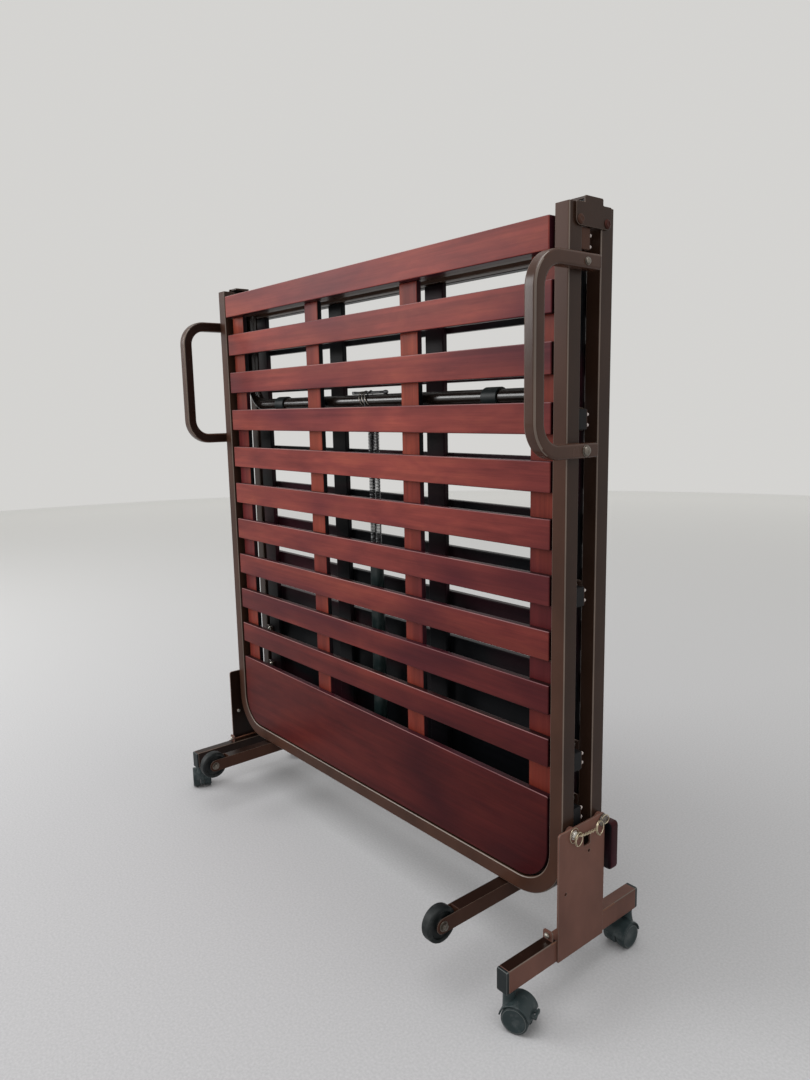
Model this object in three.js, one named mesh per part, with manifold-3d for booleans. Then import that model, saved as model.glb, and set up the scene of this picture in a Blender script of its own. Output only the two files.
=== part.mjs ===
// Folding single bed on two rolling T stands, stored upright.
// Two slatted panels hinge on a short link that carries a U-shaped centre leg. The front panel
// turns on the stands, the rear panel swings out behind it, and two tension springs help it back.
// Millimetres, +Z up. The front panel faces -Y, the width of the bed runs along X, and the floor
// is z = 0. Lengths along Y count from the front face of the front rails.

import * as THREE from 'three';
import { mergeVertices } from 'three/addons/utils/BufferGeometryUtils.js';
import Module from 'manifold-3d';

const wasm = await Module();
wasm.setup();

// Clearances
const seatGap = 0.3;            // left between pieces that touch
const runGap = 0.3;             // radial play of a pin in its hole
const lap = 1;                  // how far a cut runs past a face, or a welded end into a piece
const weld = 0.4;               // lap of two flat faces that are joined

// Panel frames: one bent square tube with two long rails and a closed lower end
const bedWidth = 970;           // over the side rails
const railWidth = 25;           // tube, across the bed
const railDepth = 27;           // tube, through the panel
const tubeWall = 1.6;
const tubeChamfer = 2;          // on the long edges of the tube
const cornerRadius = 62;        // inside of the two lower bends
const endTubeBottom = 119;      // underside of the closed end, folded
const railLength = 1000;        // from that underside to the rail ends
const panelGap = 40;            // between the two folded panels
const crossTubeHeight = 25;
const crossTubeDepth = 19;
const crossTubeDrop = 57;       // from the rail ends down to its underside

// Slats, end boards and laths
const slatCount = 10;
const slatHeight = 44;
const slatThickness = 12;
const slatRound = 3;            // radius on the long edges
const slatInset = 2;            // behind the face of the rails
const slatEndGap = 5;           // from a slat end to the rail
const slatDrop = 13;            // from the rail ends down to the first slat
const firstSlatHeight = 48.5;
const firstSlatProud = 6;       // the first slat stands out from the others
const boardGap = 45.6;          // from the last slat to the wide end board
const boardHeight = 145;
const boardFoot = 2;            // from the end board to the end tube
const boardRadius = 58;
const boardBevel = 1.8;
const lathWidth = 45;
const lathThickness = 10;
const lathInset = 30;           // from the inside of a rail to the centre of the outer lath
const lathRound = 1.5;
const outerLathStop = 61;       // outer laths end this far above the underside of the frame
const tabWidth = 30;
const tabThickness = 2.4;
const tabReach = 24;            // how far a tab reaches from the rail
const tabShares = [0.279, 0.527, 0.773, 0.859];   // side tabs, of the length of the rails
const lugShares = [0.044, ...tabShares];          // lugs behind the front rails
const lugInset = 2;             // from the inside of the rail
const lugHeight = 28;
const lugReach = 16.5;          // behind the rail
const studWidth = 8;
const studReach = 7;            // of the stud behind its lug

// Pivots of the front panel in the stands, and of both panels in the link
const pivotRise = 125;          // stand pivot above the underside of the frame
const pivotRadius = 5;
const hingeDrop = 22;           // link pin below the rail ends
const hingeInset = 19;          // link pin behind the outer face of its panel
const hingeRadius = 5;
const nutRadius = 8;
const nutThickness = 4.2;

// Hinge link and centre leg
const bracketThickness = 3;
const bracketEdge = 9;          // metal round a pin
const bracketRise = 9;          // of the raised middle above the rail ends
const bracketNeck = 38;         // width of the raised middle
const barDepth = 32;            // flange that is folded inwards over the rail ends
const barLength = 26;
const barThickness = 4;
const webDepth = 6;             // flat bar on edge from the plate to the upright, clear of
const webHeight = 14;           // the turning rail ends
const webDrop = 15;             // from the rail ends down to its top
const rivetRadius = 6.5;
const rivetHead = 2.4;
const legRadius = 12.5;         // round tube of the centre leg
const legInset = 56;            // from the side of the bed to the centre of an upright
const legBend = 45;
const padThickness = 3;         // plastic sleeves that meet the floor
const padLength = 32;
const padInset = 123;           // from the centre of an upright to the middle of its sleeve
const yokeRadius = 4;           // rod in the upper spring hooks
const yokeLength = 102;
const yokeShift = -7;           // middle of the rod, beside the middle of the bed

// Rear legs with wheels, welded under the closed end of the rear panel
const wheelLegInset = 120;      // from the side of the bed to the centre of a leg
const wheelLegWidth = 22;
const wheelLegHeight = 25;
const wheelLegGap = 2;          // weld pad between leg and end tube
const legWheelRadius = 28;
const legWheelWidth = 17.4;
const legWheelDish = 3;         // depth of the recess in its sides
const legWheelRound = 2;
const legAxleRadius = 4;
const axleHeadRadius = 7;
const axleHeadHeight = 3;
const forkSlot = 33;            // open length of the fork behind the axle

// Springs and their cover
const springSpread = 14.6;      // between the axes of the two springs
const coilRadius = 5.2;         // to the middle of the wire
const wireRadius = 1;
const coilPitch = 6.6;
const coilCount = 38;           // on each spring
const coilTopDrop = 12.5;       // from the underside of the leg tube to the top coil
const coilLap = 6;              // length of the coils inside the sleeve
const sleeveGap = 0.4;          // between coils and sleeve
const sleeveWall = 1.5;
const sleeveRise = 15;          // of the sleeve above the spring pin
const anchorRise = 51;          // spring pin above the underside of the frame
const anchorRadius = 5;
const anchorEar = 10;           // radius of the ears that hold the spring pin
const earThickness = 3;
const earSpacing = 50;          // between the outer faces of the ears

// Grab handles, only on the front panel
const handleTube = 20;
const handleReach = 88;         // in front of the rails
const handleTail = 43;          // end of the handle behind the face of the rails
const handleDrop = 76;          // from the rail ends down to the upper arm
const handleGrip = 244;         // between the centre lines of the arms
const handleBend = 30;          // inside radius

// Wooden stop rail on the back of the rear panel
const stopOverhang = 15;        // beyond the side rails
const stopHeight = 72;
const stopThickness = 16;
const stopRise = 42;            // above the underside of the frame
const stopRadius = 12;
const stopBevel = 3;

// T stands
const plateThickness = 3;
const plateGap = 8;             // between rail and plate, filled by a bush
const plateFront = -20;
const plateBack = 86;
const plateTop = 255;
const plateRadius = 4;
const footWidth = 20;
const footHeight = 35;
const footBottom = 54;
const footFront = -125;         // ends of the foot with their caps
const footBack = 181;
const capFlange = 5;
const capRound = 2.5;
const capBevel = 1.2;
const bushRadius = 9;
const pivotHead = 4;
const slotY = 42.4;             // square hole below the top edge of the plate
const slotZ = 225;
const slotWidth = 12;
const slotHeight = 16;
const plateHoles = [[49, 206, 2.5], [-4, 157, 2.5]];   // y, z and radius

// Lock pin with its ring and chain, only on the right stand
const lockRadius = 4;
const knobRadius = 9.5;
const knobThickness = 4;
const ringRadius = 9;
const ringWire = 1.2;
const chainSag = 7;
const chainLinks = 11;
const chainWire = 1.5;

// Twin-wheel casters
const casterRadius = 20;
const casterTrail = 14;
const casterWidth = 40;         // over both wheels
const casterWeb = 8;            // middle wall of the hood
const casterRound = 2.5;        // on the edges of the treads
const casterDish = 1;           // depth of the recess in the sides
const casterAxle = 3;
const hoodGap = 1;              // between wheel and fender
const hoodWall = 2;
const hoodCut = 3;              // lower edge of the fender above the axle
const stemInset = 15;           // from the end of the foot to the stem
const stemRadius = 4.8;
const stemTop = 76;
const collarRadius = 9;
const brakeReach = 8;
const brakeWidth = 18;
const brakeHeight = 5;
const frontCasterTurn = 23;     // degrees that the front casters are turned out of line

// Derived places
const halfWidth = bedWidth / 2;
const railInner = halfWidth - railWidth;
const railTop = endTubeBottom + railLength;
const endTubeTop = endTubeBottom + railWidth;
const foldedDepth = 2 * railDepth + panelGap;
const middleY = foldedDepth / 2;
const legHalf = halfWidth - legInset;
const padX = legHalf - padInset;
const wheelLegX = halfWidth - wheelLegInset;
const stopLength = bedWidth + 2 * stopOverhang;
const slatHalf = railInner - slatEndGap;
const slatBack = slatInset + slatThickness;
const firstSlatTop = railTop - slatDrop;
const boardBottom = endTubeTop + boardFoot;
const boardTop = boardBottom + boardHeight;
const lastSlatTop = boardTop + boardGap + slatHeight;
const slatPitch = (firstSlatTop - lastSlatTop) / (slatCount - 1);
const lathOuter = railInner - lathInset;
const lathInner = lathOuter / 3;
const lathFront = slatBack + seatGap;
const lathBack = lathFront + lathThickness;
const crossTubeBottom = railTop - crossTubeDrop;
const crossTubeFront = slatBack + seatGap;
const pivotY = railDepth / 2;
const pivotZ = endTubeBottom + pivotRise;
const lockY = foldedDepth - pivotY;
const hingeZ = railTop - hingeDrop;
const hingeFrontY = hingeInset;
const hingeRearY = foldedDepth - hingeInset;
const plateInner = halfWidth + plateGap;
const plateOuter = plateInner + plateThickness;
const footMiddle = plateInner - footWidth / 2;
const capPlug = stemInset - stemRadius - 2 * seatGap;   // ends in front of the caster stem
const footTop = footBottom + footHeight;

// The link stays level while the panels open by a quarter turn, and the height of its pins
// above the floor is then fixed by the stand pivot. Leg tube and wheels reach the floor there.
const openHingeZ = pivotZ - (hingeFrontY - pivotY);
const legCentreZ = hingeZ - openHingeZ + legRadius + padThickness;
const wheelLegZ = endTubeBottom - wheelLegGap - wheelLegHeight / 2;
const legWheelY = hingeRearY - (openHingeZ - legWheelRadius);

const webTop = railTop - webDrop;
const anchorZ = endTubeBottom + anchorRise;
const yokeZ = legCentreZ + legRadius + seatGap + yokeRadius;
const coilTop = legCentreZ - legRadius - coilTopDrop;
const coilBottom = coilTop - coilCount * coilPitch;
const sleeveBore = coilRadius + wireRadius + sleeveGap;
const ringDrop = 0.8 * ringRadius;       // a ring hangs this far below its bolt
const originY = (legWheelY - legWheelRadius + footBack) / 2;

// Finishes
function finish(color, roughness, metalness) {
  return { color, roughness, metalness };
}
const redWood = finish(0x6e2c28, 0.34, 0);
const darkWood = finish(0x54201f, 0.4, 0);
const brownSteel = finish(0x3f2d27, 0.42, 0.25);
const blackPlastic = finish(0x1c2325, 0.5, 0);
const rubber = finish(0x14181a, 0.75, 0);
const springSteel = finish(0x4a4d50, 0.35, 0.9);
const zinc = finish(0xb9b6a8, 0.3, 0.9);

// Solids: every helper returns a manifold, and piece() turns one into a named mesh
function solid(geometry) {
  geometry.deleteAttribute('normal');
  geometry.deleteAttribute('uv');
  const merged = mergeVertices(geometry, 1e-4);
  return new wasm.Manifold(new wasm.Mesh({
    numProp: 3,
    vertProperties: new Float32Array(merged.attributes.position.array),
    triVerts: new Uint32Array(merged.index.array),
  }));
}

function piece(name, look, shape) {
  const mesh = shape.getMesh();
  const geometry = new THREE.BufferGeometry();
  geometry.setAttribute('position', new THREE.BufferAttribute(mesh.vertProperties, 3));
  geometry.setIndex(new THREE.BufferAttribute(mesh.triVerts, 1));
  geometry.computeVertexNormals();
  const object = new THREE.Mesh(geometry, new THREE.MeshStandardMaterial(look));
  object.name = name;
  return object;
}

function join(...parts) {
  return parts.reduce((whole, part) => whole.add(part));
}

function cut(body, ...tools) {
  return tools.reduce((whole, tool) => whole.subtract(tool), body);
}

function box(x, y, z) {
  const geometry = new THREE.BoxGeometry(x[1] - x[0], y[1] - y[0], z[1] - z[0]);
  geometry.translate((x[0] + x[1]) / 2, (y[0] + y[1]) / 2, (z[0] + z[1]) / 2);
  return solid(geometry);
}

// Each direction names the axis that an extrusion or a rod runs along. The outline of an
// extrusion along x is drawn in (y, z), along y in (x, z) and along z in (x, y). Every arc of
// the outline gets arcSteps straight steps, an even number.
const turns = {
  x: new THREE.Matrix4().makeBasis(
    new THREE.Vector3(0, 1, 0), new THREE.Vector3(0, 0, 1), new THREE.Vector3(1, 0, 0)),
  y: new THREE.Matrix4().makeBasis(
    new THREE.Vector3(1, 0, 0), new THREE.Vector3(0, 0, 1), new THREE.Vector3(0, -1, 0)),
  z: new THREE.Matrix4(),
};

function extrude(shape, along, span, bevel = 0, arcSteps = 8) {
  const geometry = new THREE.ExtrudeGeometry(shape, {
    depth: span[1] - span[0] - 2 * bevel,
    steps: 1,
    curveSegments: arcSteps / 2,
    bevelEnabled: bevel > 0,
    bevelThickness: bevel,
    bevelSize: bevel,
    bevelOffset: -bevel,
    bevelSegments: 1,
  });
  geometry.applyMatrix4(turns[along]);
  const start = along === 'y' ? span[1] - bevel : span[0] + bevel;
  const move = { x: [start, 0, 0], y: [0, start, 0], z: [0, 0, start] }[along];
  geometry.translate(...move);
  return solid(geometry);
}

// A lathe turned about the named axis: the profile holds [radius, place along the axis]
function turned(profile, along, centre, sides = 24) {
  const points = profile.map(([radius, place]) => new THREE.Vector2(radius, place));
  const geometry = new THREE.LatheGeometry(points, sides);
  geometry.rotateX(Math.PI / 2);
  geometry.applyMatrix4(turns[along === 'y' ? 'y' : along]);
  geometry.translate(...centre);
  const made = solid(geometry);
  return made.volume() < 0 ? solid(flipped(geometry)) : made;
}

function flipped(geometry) {
  const copy = geometry.clone();
  const order = copy.index.array;
  for (let i = 0; i < order.length; i += 3) {
    [order[i], order[i + 1]] = [order[i + 1], order[i]];
  }
  return copy;
}

function rod(radius, along, span, centre, sides = 12) {
  const geometry = new THREE.CylinderGeometry(radius, radius, span[1] - span[0], sides);
  const middle = (span[0] + span[1]) / 2;
  if (along === 'x') geometry.rotateZ(Math.PI / 2);
  if (along === 'z') geometry.rotateX(Math.PI / 2);
  const place = {
    x: [middle, centre[0], centre[1]],
    y: [centre[0], middle, centre[1]],
    z: [centre[0], centre[1], middle],
  }[along];
  geometry.translate(...place);
  return solid(geometry);
}

// Outlines
function roundedRect(x, y, radius) {
  const shape = new THREE.Shape();
  shape.moveTo(x[0] + radius, y[0]);
  shape.lineTo(x[1] - radius, y[0]);
  shape.absarc(x[1] - radius, y[0] + radius, radius, -Math.PI / 2, 0);
  shape.lineTo(x[1], y[1] - radius);
  shape.absarc(x[1] - radius, y[1] - radius, radius, 0, Math.PI / 2);
  shape.lineTo(x[0] + radius, y[1]);
  shape.absarc(x[0] + radius, y[1] - radius, radius, Math.PI / 2, Math.PI);
  shape.lineTo(x[0], y[0] + radius);
  shape.absarc(x[0] + radius, y[0] + radius, radius, Math.PI, 3 * Math.PI / 2);
  return shape;
}

function circle(x, y, radius) {
  const shape = new THREE.Shape();
  shape.absarc(x, y, radius, 0, 2 * Math.PI);
  return shape;
}

function stadium(halfLength, radius) {
  const shape = new THREE.Shape();
  shape.absarc(halfLength, 0, radius, -Math.PI / 2, Math.PI / 2);
  shape.absarc(-halfLength, 0, radius, Math.PI / 2, 3 * Math.PI / 2);
  return shape;
}

// Points of a bent U band. Legs run along the second coordinate up to `top`, the closed end
// lies between `bottom` and `bottom + width`, and both bends turn about the same two centres.
function uBand(halfSpan, bottom, top, width, innerRadius, bendSteps) {
  const outerRadius = innerRadius + width;
  const points = [];
  const centreX = halfSpan - outerRadius;
  const centreY = bottom + outerRadius;
  const bend = (side, radius, from, to) => {
    for (let i = 0; i <= bendSteps; i += 1) {
      const angle = from + (to - from) * i / bendSteps;
      points.push([side * centreX + radius * Math.cos(angle), centreY + radius * Math.sin(angle)]);
    }
  };
  points.push([-halfSpan, top]);
  bend(-1, outerRadius, Math.PI, 1.5 * Math.PI);
  bend(1, outerRadius, -Math.PI / 2, 0);
  points.push([halfSpan, top], [halfSpan - width, top]);
  bend(1, innerRadius, 0, -Math.PI / 2);
  bend(-1, innerRadius, 1.5 * Math.PI, Math.PI);
  points.push([-halfSpan + width, top]);
  return points;
}

function shapeOf(points) {
  return new THREE.Shape(points.map(([x, y]) => new THREE.Vector2(x, y)));
}

function sorted(a, b) {
  return a < b ? [a, b] : [b, a];
}

// A path that keeps exactly the stations it is given, so that straight runs stay one step long
class StationPath extends THREE.Curve {
  constructor(stations) {
    super();
    this.stations = stations;
  }

  getPoint(t, target = new THREE.Vector3()) {
    const place = Math.min(Math.max(t, 0), 1) * (this.stations.length - 1);
    const i = Math.min(Math.floor(place), this.stations.length - 2);
    return target.copy(this.stations[i]).lerp(this.stations[i + 1], place - i);
  }

  getPointAt(u, target) {
    return this.getPoint(u, target);
  }

  getTangentAt(u, target) {
    return this.getTangent(u, target);
  }
}

function roundTube(stations, radius, sides) {
  const shape = new THREE.Shape();
  for (let i = 0; i < sides; i += 1) {
    const angle = 2 * Math.PI * i / sides;
    const point = [radius * Math.cos(angle), radius * Math.sin(angle)];
    if (i === 0) shape.moveTo(...point);
    else shape.lineTo(...point);
  }
  return solid(new THREE.ExtrudeGeometry(shape, {
    steps: stations.length - 1,
    extrudePath: new StationPath(stations),
    bevelEnabled: false,
  }));
}

// Frame of one panel, drawn as the front one: rails, closed end, cross tube and lath tabs
function panelFrame() {
  const bendCount = 7;
  const outer = extrude(
    shapeOf(uBand(halfWidth, endTubeBottom, railTop, railWidth, cornerRadius, bendCount)),
    'y', [0, railDepth], tubeChamfer);
  const bore = extrude(
    shapeOf(uBand(halfWidth - tubeWall, endTubeBottom + tubeWall, railTop - tubeWall,
      railWidth - 2 * tubeWall, cornerRadius + tubeWall, bendCount)),
    'y', [tubeWall, railDepth - tubeWall]);
  const crossY = [crossTubeFront, crossTubeFront + crossTubeDepth];
  const crossZ = [crossTubeBottom, crossTubeBottom + crossTubeHeight];
  const cross = box([-railInner - lap, railInner + lap], crossY, crossZ);
  const crossBoreEnd = railInner + 2 * tubeWall;
  const crossBore = box(
    [-crossBoreEnd, crossBoreEnd],
    [crossY[0] + tubeWall, Math.min(crossY[1], railDepth) - 2 * tubeWall],
    [crossZ[0] + tubeWall, crossZ[1] - tubeWall]);
  const holes = [-1, 1].map((side) => rod(
    hingeRadius + runGap, 'x', sorted(side * (railInner - lap), side * (halfWidth + lap)),
    [hingeFrontY, hingeZ]));
  return cut(join(outer, cross, ...lathTabs()), bore, crossBore, ...holes);
}

function lathTabs() {
  const depth = [lathBack + seatGap, lathBack + seatGap + tabThickness];
  const tabs = [];
  for (const side of [-1, 1]) {
    for (const share of tabShares) {
      const z = railTop - share * railLength;
      tabs.push(box(
        sorted(side * (railInner - tabReach), side * (railInner + tubeWall / 2)), depth,
        [z - tabWidth / 2, z + tabWidth / 2]));
    }
    tabs.push(box(
      [side * lathInner - tabWidth / 2, side * lathInner + tabWidth / 2], depth,
      [endTubeTop - tubeWall / 2, endTubeTop + tabReach]));
  }
  return tabs;
}

function frontFrame() {
  const holes = [-1, 1].map((side) => rod(
    pivotRadius + runGap, 'x', sorted(side * (railInner - lap), side * (halfWidth + lap)),
    [pivotY, pivotZ]));
  return join(cut(panelFrame(), ...holes), ...railLugs());
}

// Lugs with studs behind the front rails, in the gap between the two panels
function railLugs() {
  const lugY = [railDepth - tubeWall / 2, railDepth + lugReach];
  const studY = [lugY[1] - lap, lugY[1] + studReach];
  const studX = halfWidth - railWidth / 2;
  return [-1, 1].flatMap((side) => lugShares.flatMap((share) => {
    const z = railTop - share * railLength;
    return [
      box(sorted(side * (railInner + lugInset), side * (halfWidth - tubeChamfer / 2)), lugY,
        [z - lugHeight / 2, z + lugHeight / 2]),
      box(sorted(side * studX - studWidth / 2, side * studX + studWidth / 2), studY,
        [z - studWidth / 2, z + studWidth / 2]),
    ];
  }));
}

// The rear frame is drawn in the same place as the front one and turned round afterwards, so
// its legs point towards +Y here
function rearFrame() {
  const lockHole = rod(lockRadius + runGap, 'x',
    [-halfWidth - lap, -halfWidth + 2 * tubeWall], [pivotY, pivotZ]);
  return join(cut(panelFrame(), lockHole), wheelLeg(-1), wheelLeg(1), springAnchor());
}

function wheelLeg(side) {
  const x = side * wheelLegX;
  const half = wheelLegWidth / 2;
  const axleY = foldedDepth - legWheelY;
  const height = [wheelLegZ - wheelLegHeight / 2, wheelLegZ + wheelLegHeight / 2];
  const outline = new THREE.Shape();
  outline.moveTo(0, height[0]);
  outline.lineTo(axleY, height[0]);
  outline.absarc(axleY, wheelLegZ, wheelLegHeight / 2, -Math.PI / 2, Math.PI / 2);
  outline.lineTo(0, height[1]);
  const outer = extrude(outline, 'x', [x - half, x + half], tubeWall / 2, 6);
  const bore = box([x - half + tubeWall, x + half - tubeWall], [-lap, axleY + wheelLegHeight],
    [height[0] + tubeWall, height[1] - tubeWall]);
  const fork = box([x - half + tubeWall, x + half - tubeWall],
    [axleY - forkSlot, axleY + wheelLegHeight], [height[0] - lap, height[1] + lap]);
  const pad = box([x - half + lap, x + half - lap], [tubeChamfer, railDepth - tubeChamfer],
    [height[1] - tubeWall / 2, endTubeBottom + tubeWall / 2]);
  const axle = rod(legAxleRadius, 'x', [x - half - lap, x + half + lap], [axleY, wheelLegZ], 12);
  const heads = [-1, 1].map((end) => rod(axleHeadRadius, 'x',
    sorted(x + end * (half - weld), x + end * (half + axleHeadHeight)), [axleY, wheelLegZ], 6));
  return join(cut(outer, bore, fork), pad, axle, ...heads);
}

function springAnchor() {
  const outline = new THREE.Shape();
  const tubeFace = railDepth - lap;
  outline.moveTo(tubeFace, endTubeBottom + tubeChamfer);
  outline.lineTo(middleY + 0.4 * anchorEar, anchorZ - anchorEar);
  outline.absarc(middleY, anchorZ, anchorEar, -Math.PI / 4, 3 * Math.PI / 4);
  outline.lineTo(tubeFace, endTubeTop - tubeChamfer);
  const ears = [-1, 1].map((side) => extrude(outline, 'x',
    sorted(side * (earSpacing / 2 - earThickness), side * earSpacing / 2), 0, 4));
  const pin = rod(anchorRadius, 'x', [-earSpacing / 2 + lap, earSpacing / 2 - lap],
    [middleY, anchorZ], 12);
  return join(...ears, pin);
}

// Slats, end board and laths of one panel, drawn as the front ones
function slat(index) {
  const isFirst = index === 0;
  const top = firstSlatTop - index * slatPitch;
  const height = isFirst ? firstSlatHeight : slatHeight;
  const face = isFirst ? slatInset - firstSlatProud : slatInset;
  return extrude(roundedRect([face, slatBack], [top - height, top], slatRound),
    'x', [-slatHalf, slatHalf], 0, 2);
}

function endBoard() {
  const shape = new THREE.Shape();
  shape.moveTo(-slatHalf, boardTop);
  shape.lineTo(-slatHalf, boardBottom + boardRadius);
  shape.absarc(-slatHalf + boardRadius, boardBottom + boardRadius, boardRadius,
    Math.PI, 1.5 * Math.PI);
  shape.lineTo(slatHalf - boardRadius, boardBottom);
  shape.absarc(slatHalf - boardRadius, boardBottom + boardRadius, boardRadius,
    -Math.PI / 2, 0);
  shape.lineTo(slatHalf, boardTop);
  return extrude(shape, 'y', [slatInset, slatBack], boardBevel, 8);
}

function lath(x, bottom) {
  return extrude(
    roundedRect([x - lathWidth / 2, x + lathWidth / 2], [lathFront, lathBack], lathRound),
    'z', [bottom, crossTubeBottom - seatGap], 0, 2);
}

const lathPlaces = [
  [-lathOuter, endTubeBottom + outerLathStop],
  [-lathInner, endTubeTop + seatGap],
  [lathInner, endTubeTop + seatGap],
  [lathOuter, endTubeBottom + outerLathStop],
];

function addDeck(group, prefix, wood) {
  for (let i = 0; i < slatCount; i += 1) {
    const number = String(i + 1).padStart(2, '0');
    group.add(piece(`${prefix}_slat_${number}`, wood, slat(i)));
  }
  group.add(piece(`${prefix}_end_board`, wood, endBoard()));
  lathPlaces.forEach(([x, bottom], i) => {
    group.add(piece(`${prefix}_lath_${i + 1}`, wood, lath(x, bottom)));
  });
}

// Grab handle: a bent square tube that lies flat against the outside of a front rail
function handle(side) {
  const middleZ = railTop - handleDrop - handleGrip / 2;
  const halfGrip = (handleGrip + handleTube) / 2;
  const across = sorted(side * (halfWidth + seatGap), side * (halfWidth + seatGap + handleTube));
  const place = ([along, out]) => [out, middleZ + along];
  const bendCount = 5;
  const outline = uBand(halfGrip, -handleReach, handleTail, handleTube, handleBend, bendCount);
  const hollow = uBand(halfGrip - tubeWall, -handleReach + tubeWall, handleTail + 1,
    handleTube - 2 * tubeWall, handleBend + tubeWall, bendCount);
  return cut(
    extrude(shapeOf(outline.map(place)), 'x', across, tubeChamfer),
    extrude(shapeOf(hollow.map(place)), 'x', [across[0] + tubeWall, across[1] - tubeWall]));
}

// Hinge bracket of the link: plate outside the rails, flange above them, web towards the upright
// and two riveted pins. Flange and web stay outside the circles that the corners of the rail
// ends run in. The nuts on the inner ends of the pins turn with the link.
function hingeBracket(side) {
  const left = hingeFrontY;
  const right = hingeRearY;
  const neck = [middleY - bracketNeck / 2, middleY + bracketNeck / 2];
  const shape = new THREE.Shape();
  shape.moveTo(left - bracketEdge, railTop);
  shape.absarc(left, hingeZ, bracketEdge, Math.PI, 1.5 * Math.PI);
  shape.absarc(right, hingeZ, bracketEdge, 1.5 * Math.PI, 2 * Math.PI);
  shape.lineTo(right + bracketEdge, railTop);
  shape.lineTo(neck[1], railTop);
  shape.lineTo(neck[1], railTop + bracketRise);
  shape.lineTo(neck[0], railTop + bracketRise);
  shape.lineTo(neck[0], railTop);
  const inner = halfWidth + seatGap;
  const outer = inner + bracketThickness;
  const plate = extrude(shape, 'x', sorted(side * inner, side * outer), 0, 6);
  const barTop = railTop + bracketRise;
  const bar = box(sorted(side * (outer - lap - barLength), side * (outer - lap)),
    [middleY - barDepth / 2, middleY + barDepth / 2], [barTop - barThickness, barTop]);
  const web = box(sorted(side * legHalf, side * (outer - lap)),
    [middleY - webDepth / 2, middleY + webDepth / 2], [webTop - webHeight, webTop]);
  const pins = [left, right].flatMap((y) => [
    rod(hingeRadius, 'x', sorted(side * (railInner - lap), side * outer), [y, hingeZ]),
    rod(nutRadius, 'x',
      sorted(side * (railInner - seatGap), side * (railInner - seatGap - nutThickness)),
      [y, hingeZ], 6),
    rod(rivetRadius, 'x', sorted(side * (outer - weld), side * (outer + rivetHead)),
      [y, hingeZ], 12),
  ]);
  return join(plate, bar, web, ...pins);
}

// Centre leg, one weldment: both hinge brackets and a round tube bent to a U, open at its ends
function centreLeg() {
  const bendCount = 6;
  const stations = [];
  for (const side of [-1, 1]) {
    for (let i = 0; i <= bendCount; i += 1) {
      const share = side < 0 ? i / bendCount : 1 - i / bendCount;
      const angle = share * Math.PI / 2;
      stations.push(new THREE.Vector3(
        side * (legHalf - legBend + legBend * Math.cos(angle)), middleY,
        legCentreZ + legBend - legBend * Math.sin(angle)));
    }
  }
  const upTo = (top) => [
    new THREE.Vector3(-legHalf, middleY, top),
    ...stations,
    new THREE.Vector3(legHalf, middleY, top),
  ];
  const tube = roundTube(upTo(webTop), legRadius, 12);
  const bore = roundTube(upTo(webTop + lap), legRadius - tubeWall, 8);
  return cut(join(tube, hingeBracket(-1), hingeBracket(1)), bore);
}

// Rod that the upper spring hooks hang on. It lies on the round tube of the centre leg.
function springYoke() {
  return rod(yokeRadius, 'x', [yokeShift - yokeLength / 2, yokeShift + yokeLength / 2],
    [middleY, yokeZ], 12);
}

function legSleeve(side) {
  const inner = legRadius + seatGap;
  const outer = legRadius + padThickness;
  const x = side * padX;
  const ring = circle(middleY, legCentreZ, outer);
  ring.holes.push(circle(middleY, legCentreZ, inner));
  return extrude(ring, 'x', [x - padLength / 2, x + padLength / 2], 0, 24);
}

// Tension springs, one wire each: a hook over the yoke, a stretch down past the front of the
// leg tube, the coils, and a straight end inside the sleeve to a hook round the spring pin
function springWire(x) {
  const points = [];
  const hookCount = 8;
  const turnCount = 7;
  const arc = (z, radius, from, to) => {
    for (let i = 0; i <= hookCount; i += 1) {
      const angle = from + (to - from) * i / hookCount;
      points.push([x, middleY + radius * Math.cos(angle), z + radius * Math.sin(angle)]);
    }
  };
  const hookRadius = yokeRadius + seatGap + wireRadius;
  const passY = middleY - legRadius - seatGap - wireRadius;
  const eyeRadius = anchorRadius + seatGap + wireRadius;
  points.push([x, middleY + hookRadius, yokeZ - yokeRadius]);
  arc(yokeZ, hookRadius, 0, Math.PI);
  points.push([x, passY, (legCentreZ + yokeZ) / 2]);
  points.push([x, passY, legCentreZ - legRadius]);
  for (let i = 0; i <= coilCount * turnCount; i += 1) {
    const angle = -Math.PI / 2 - 2 * Math.PI * i / turnCount;
    points.push([
      x + coilRadius * Math.cos(angle),
      middleY + coilRadius * Math.sin(angle),
      coilTop - coilPitch * i / turnCount,
    ]);
  }
  points.push([x, middleY, coilBottom - coilPitch]);
  points.push([x, middleY, anchorZ + sleeveRise + coilRadius]);
  arc(anchorZ, eyeRadius, Math.PI, 2 * Math.PI);
  points.push([x, middleY + eyeRadius, anchorZ + anchorRadius]);
  return points.map((point) => new THREE.Vector3(...point));
}

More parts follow.
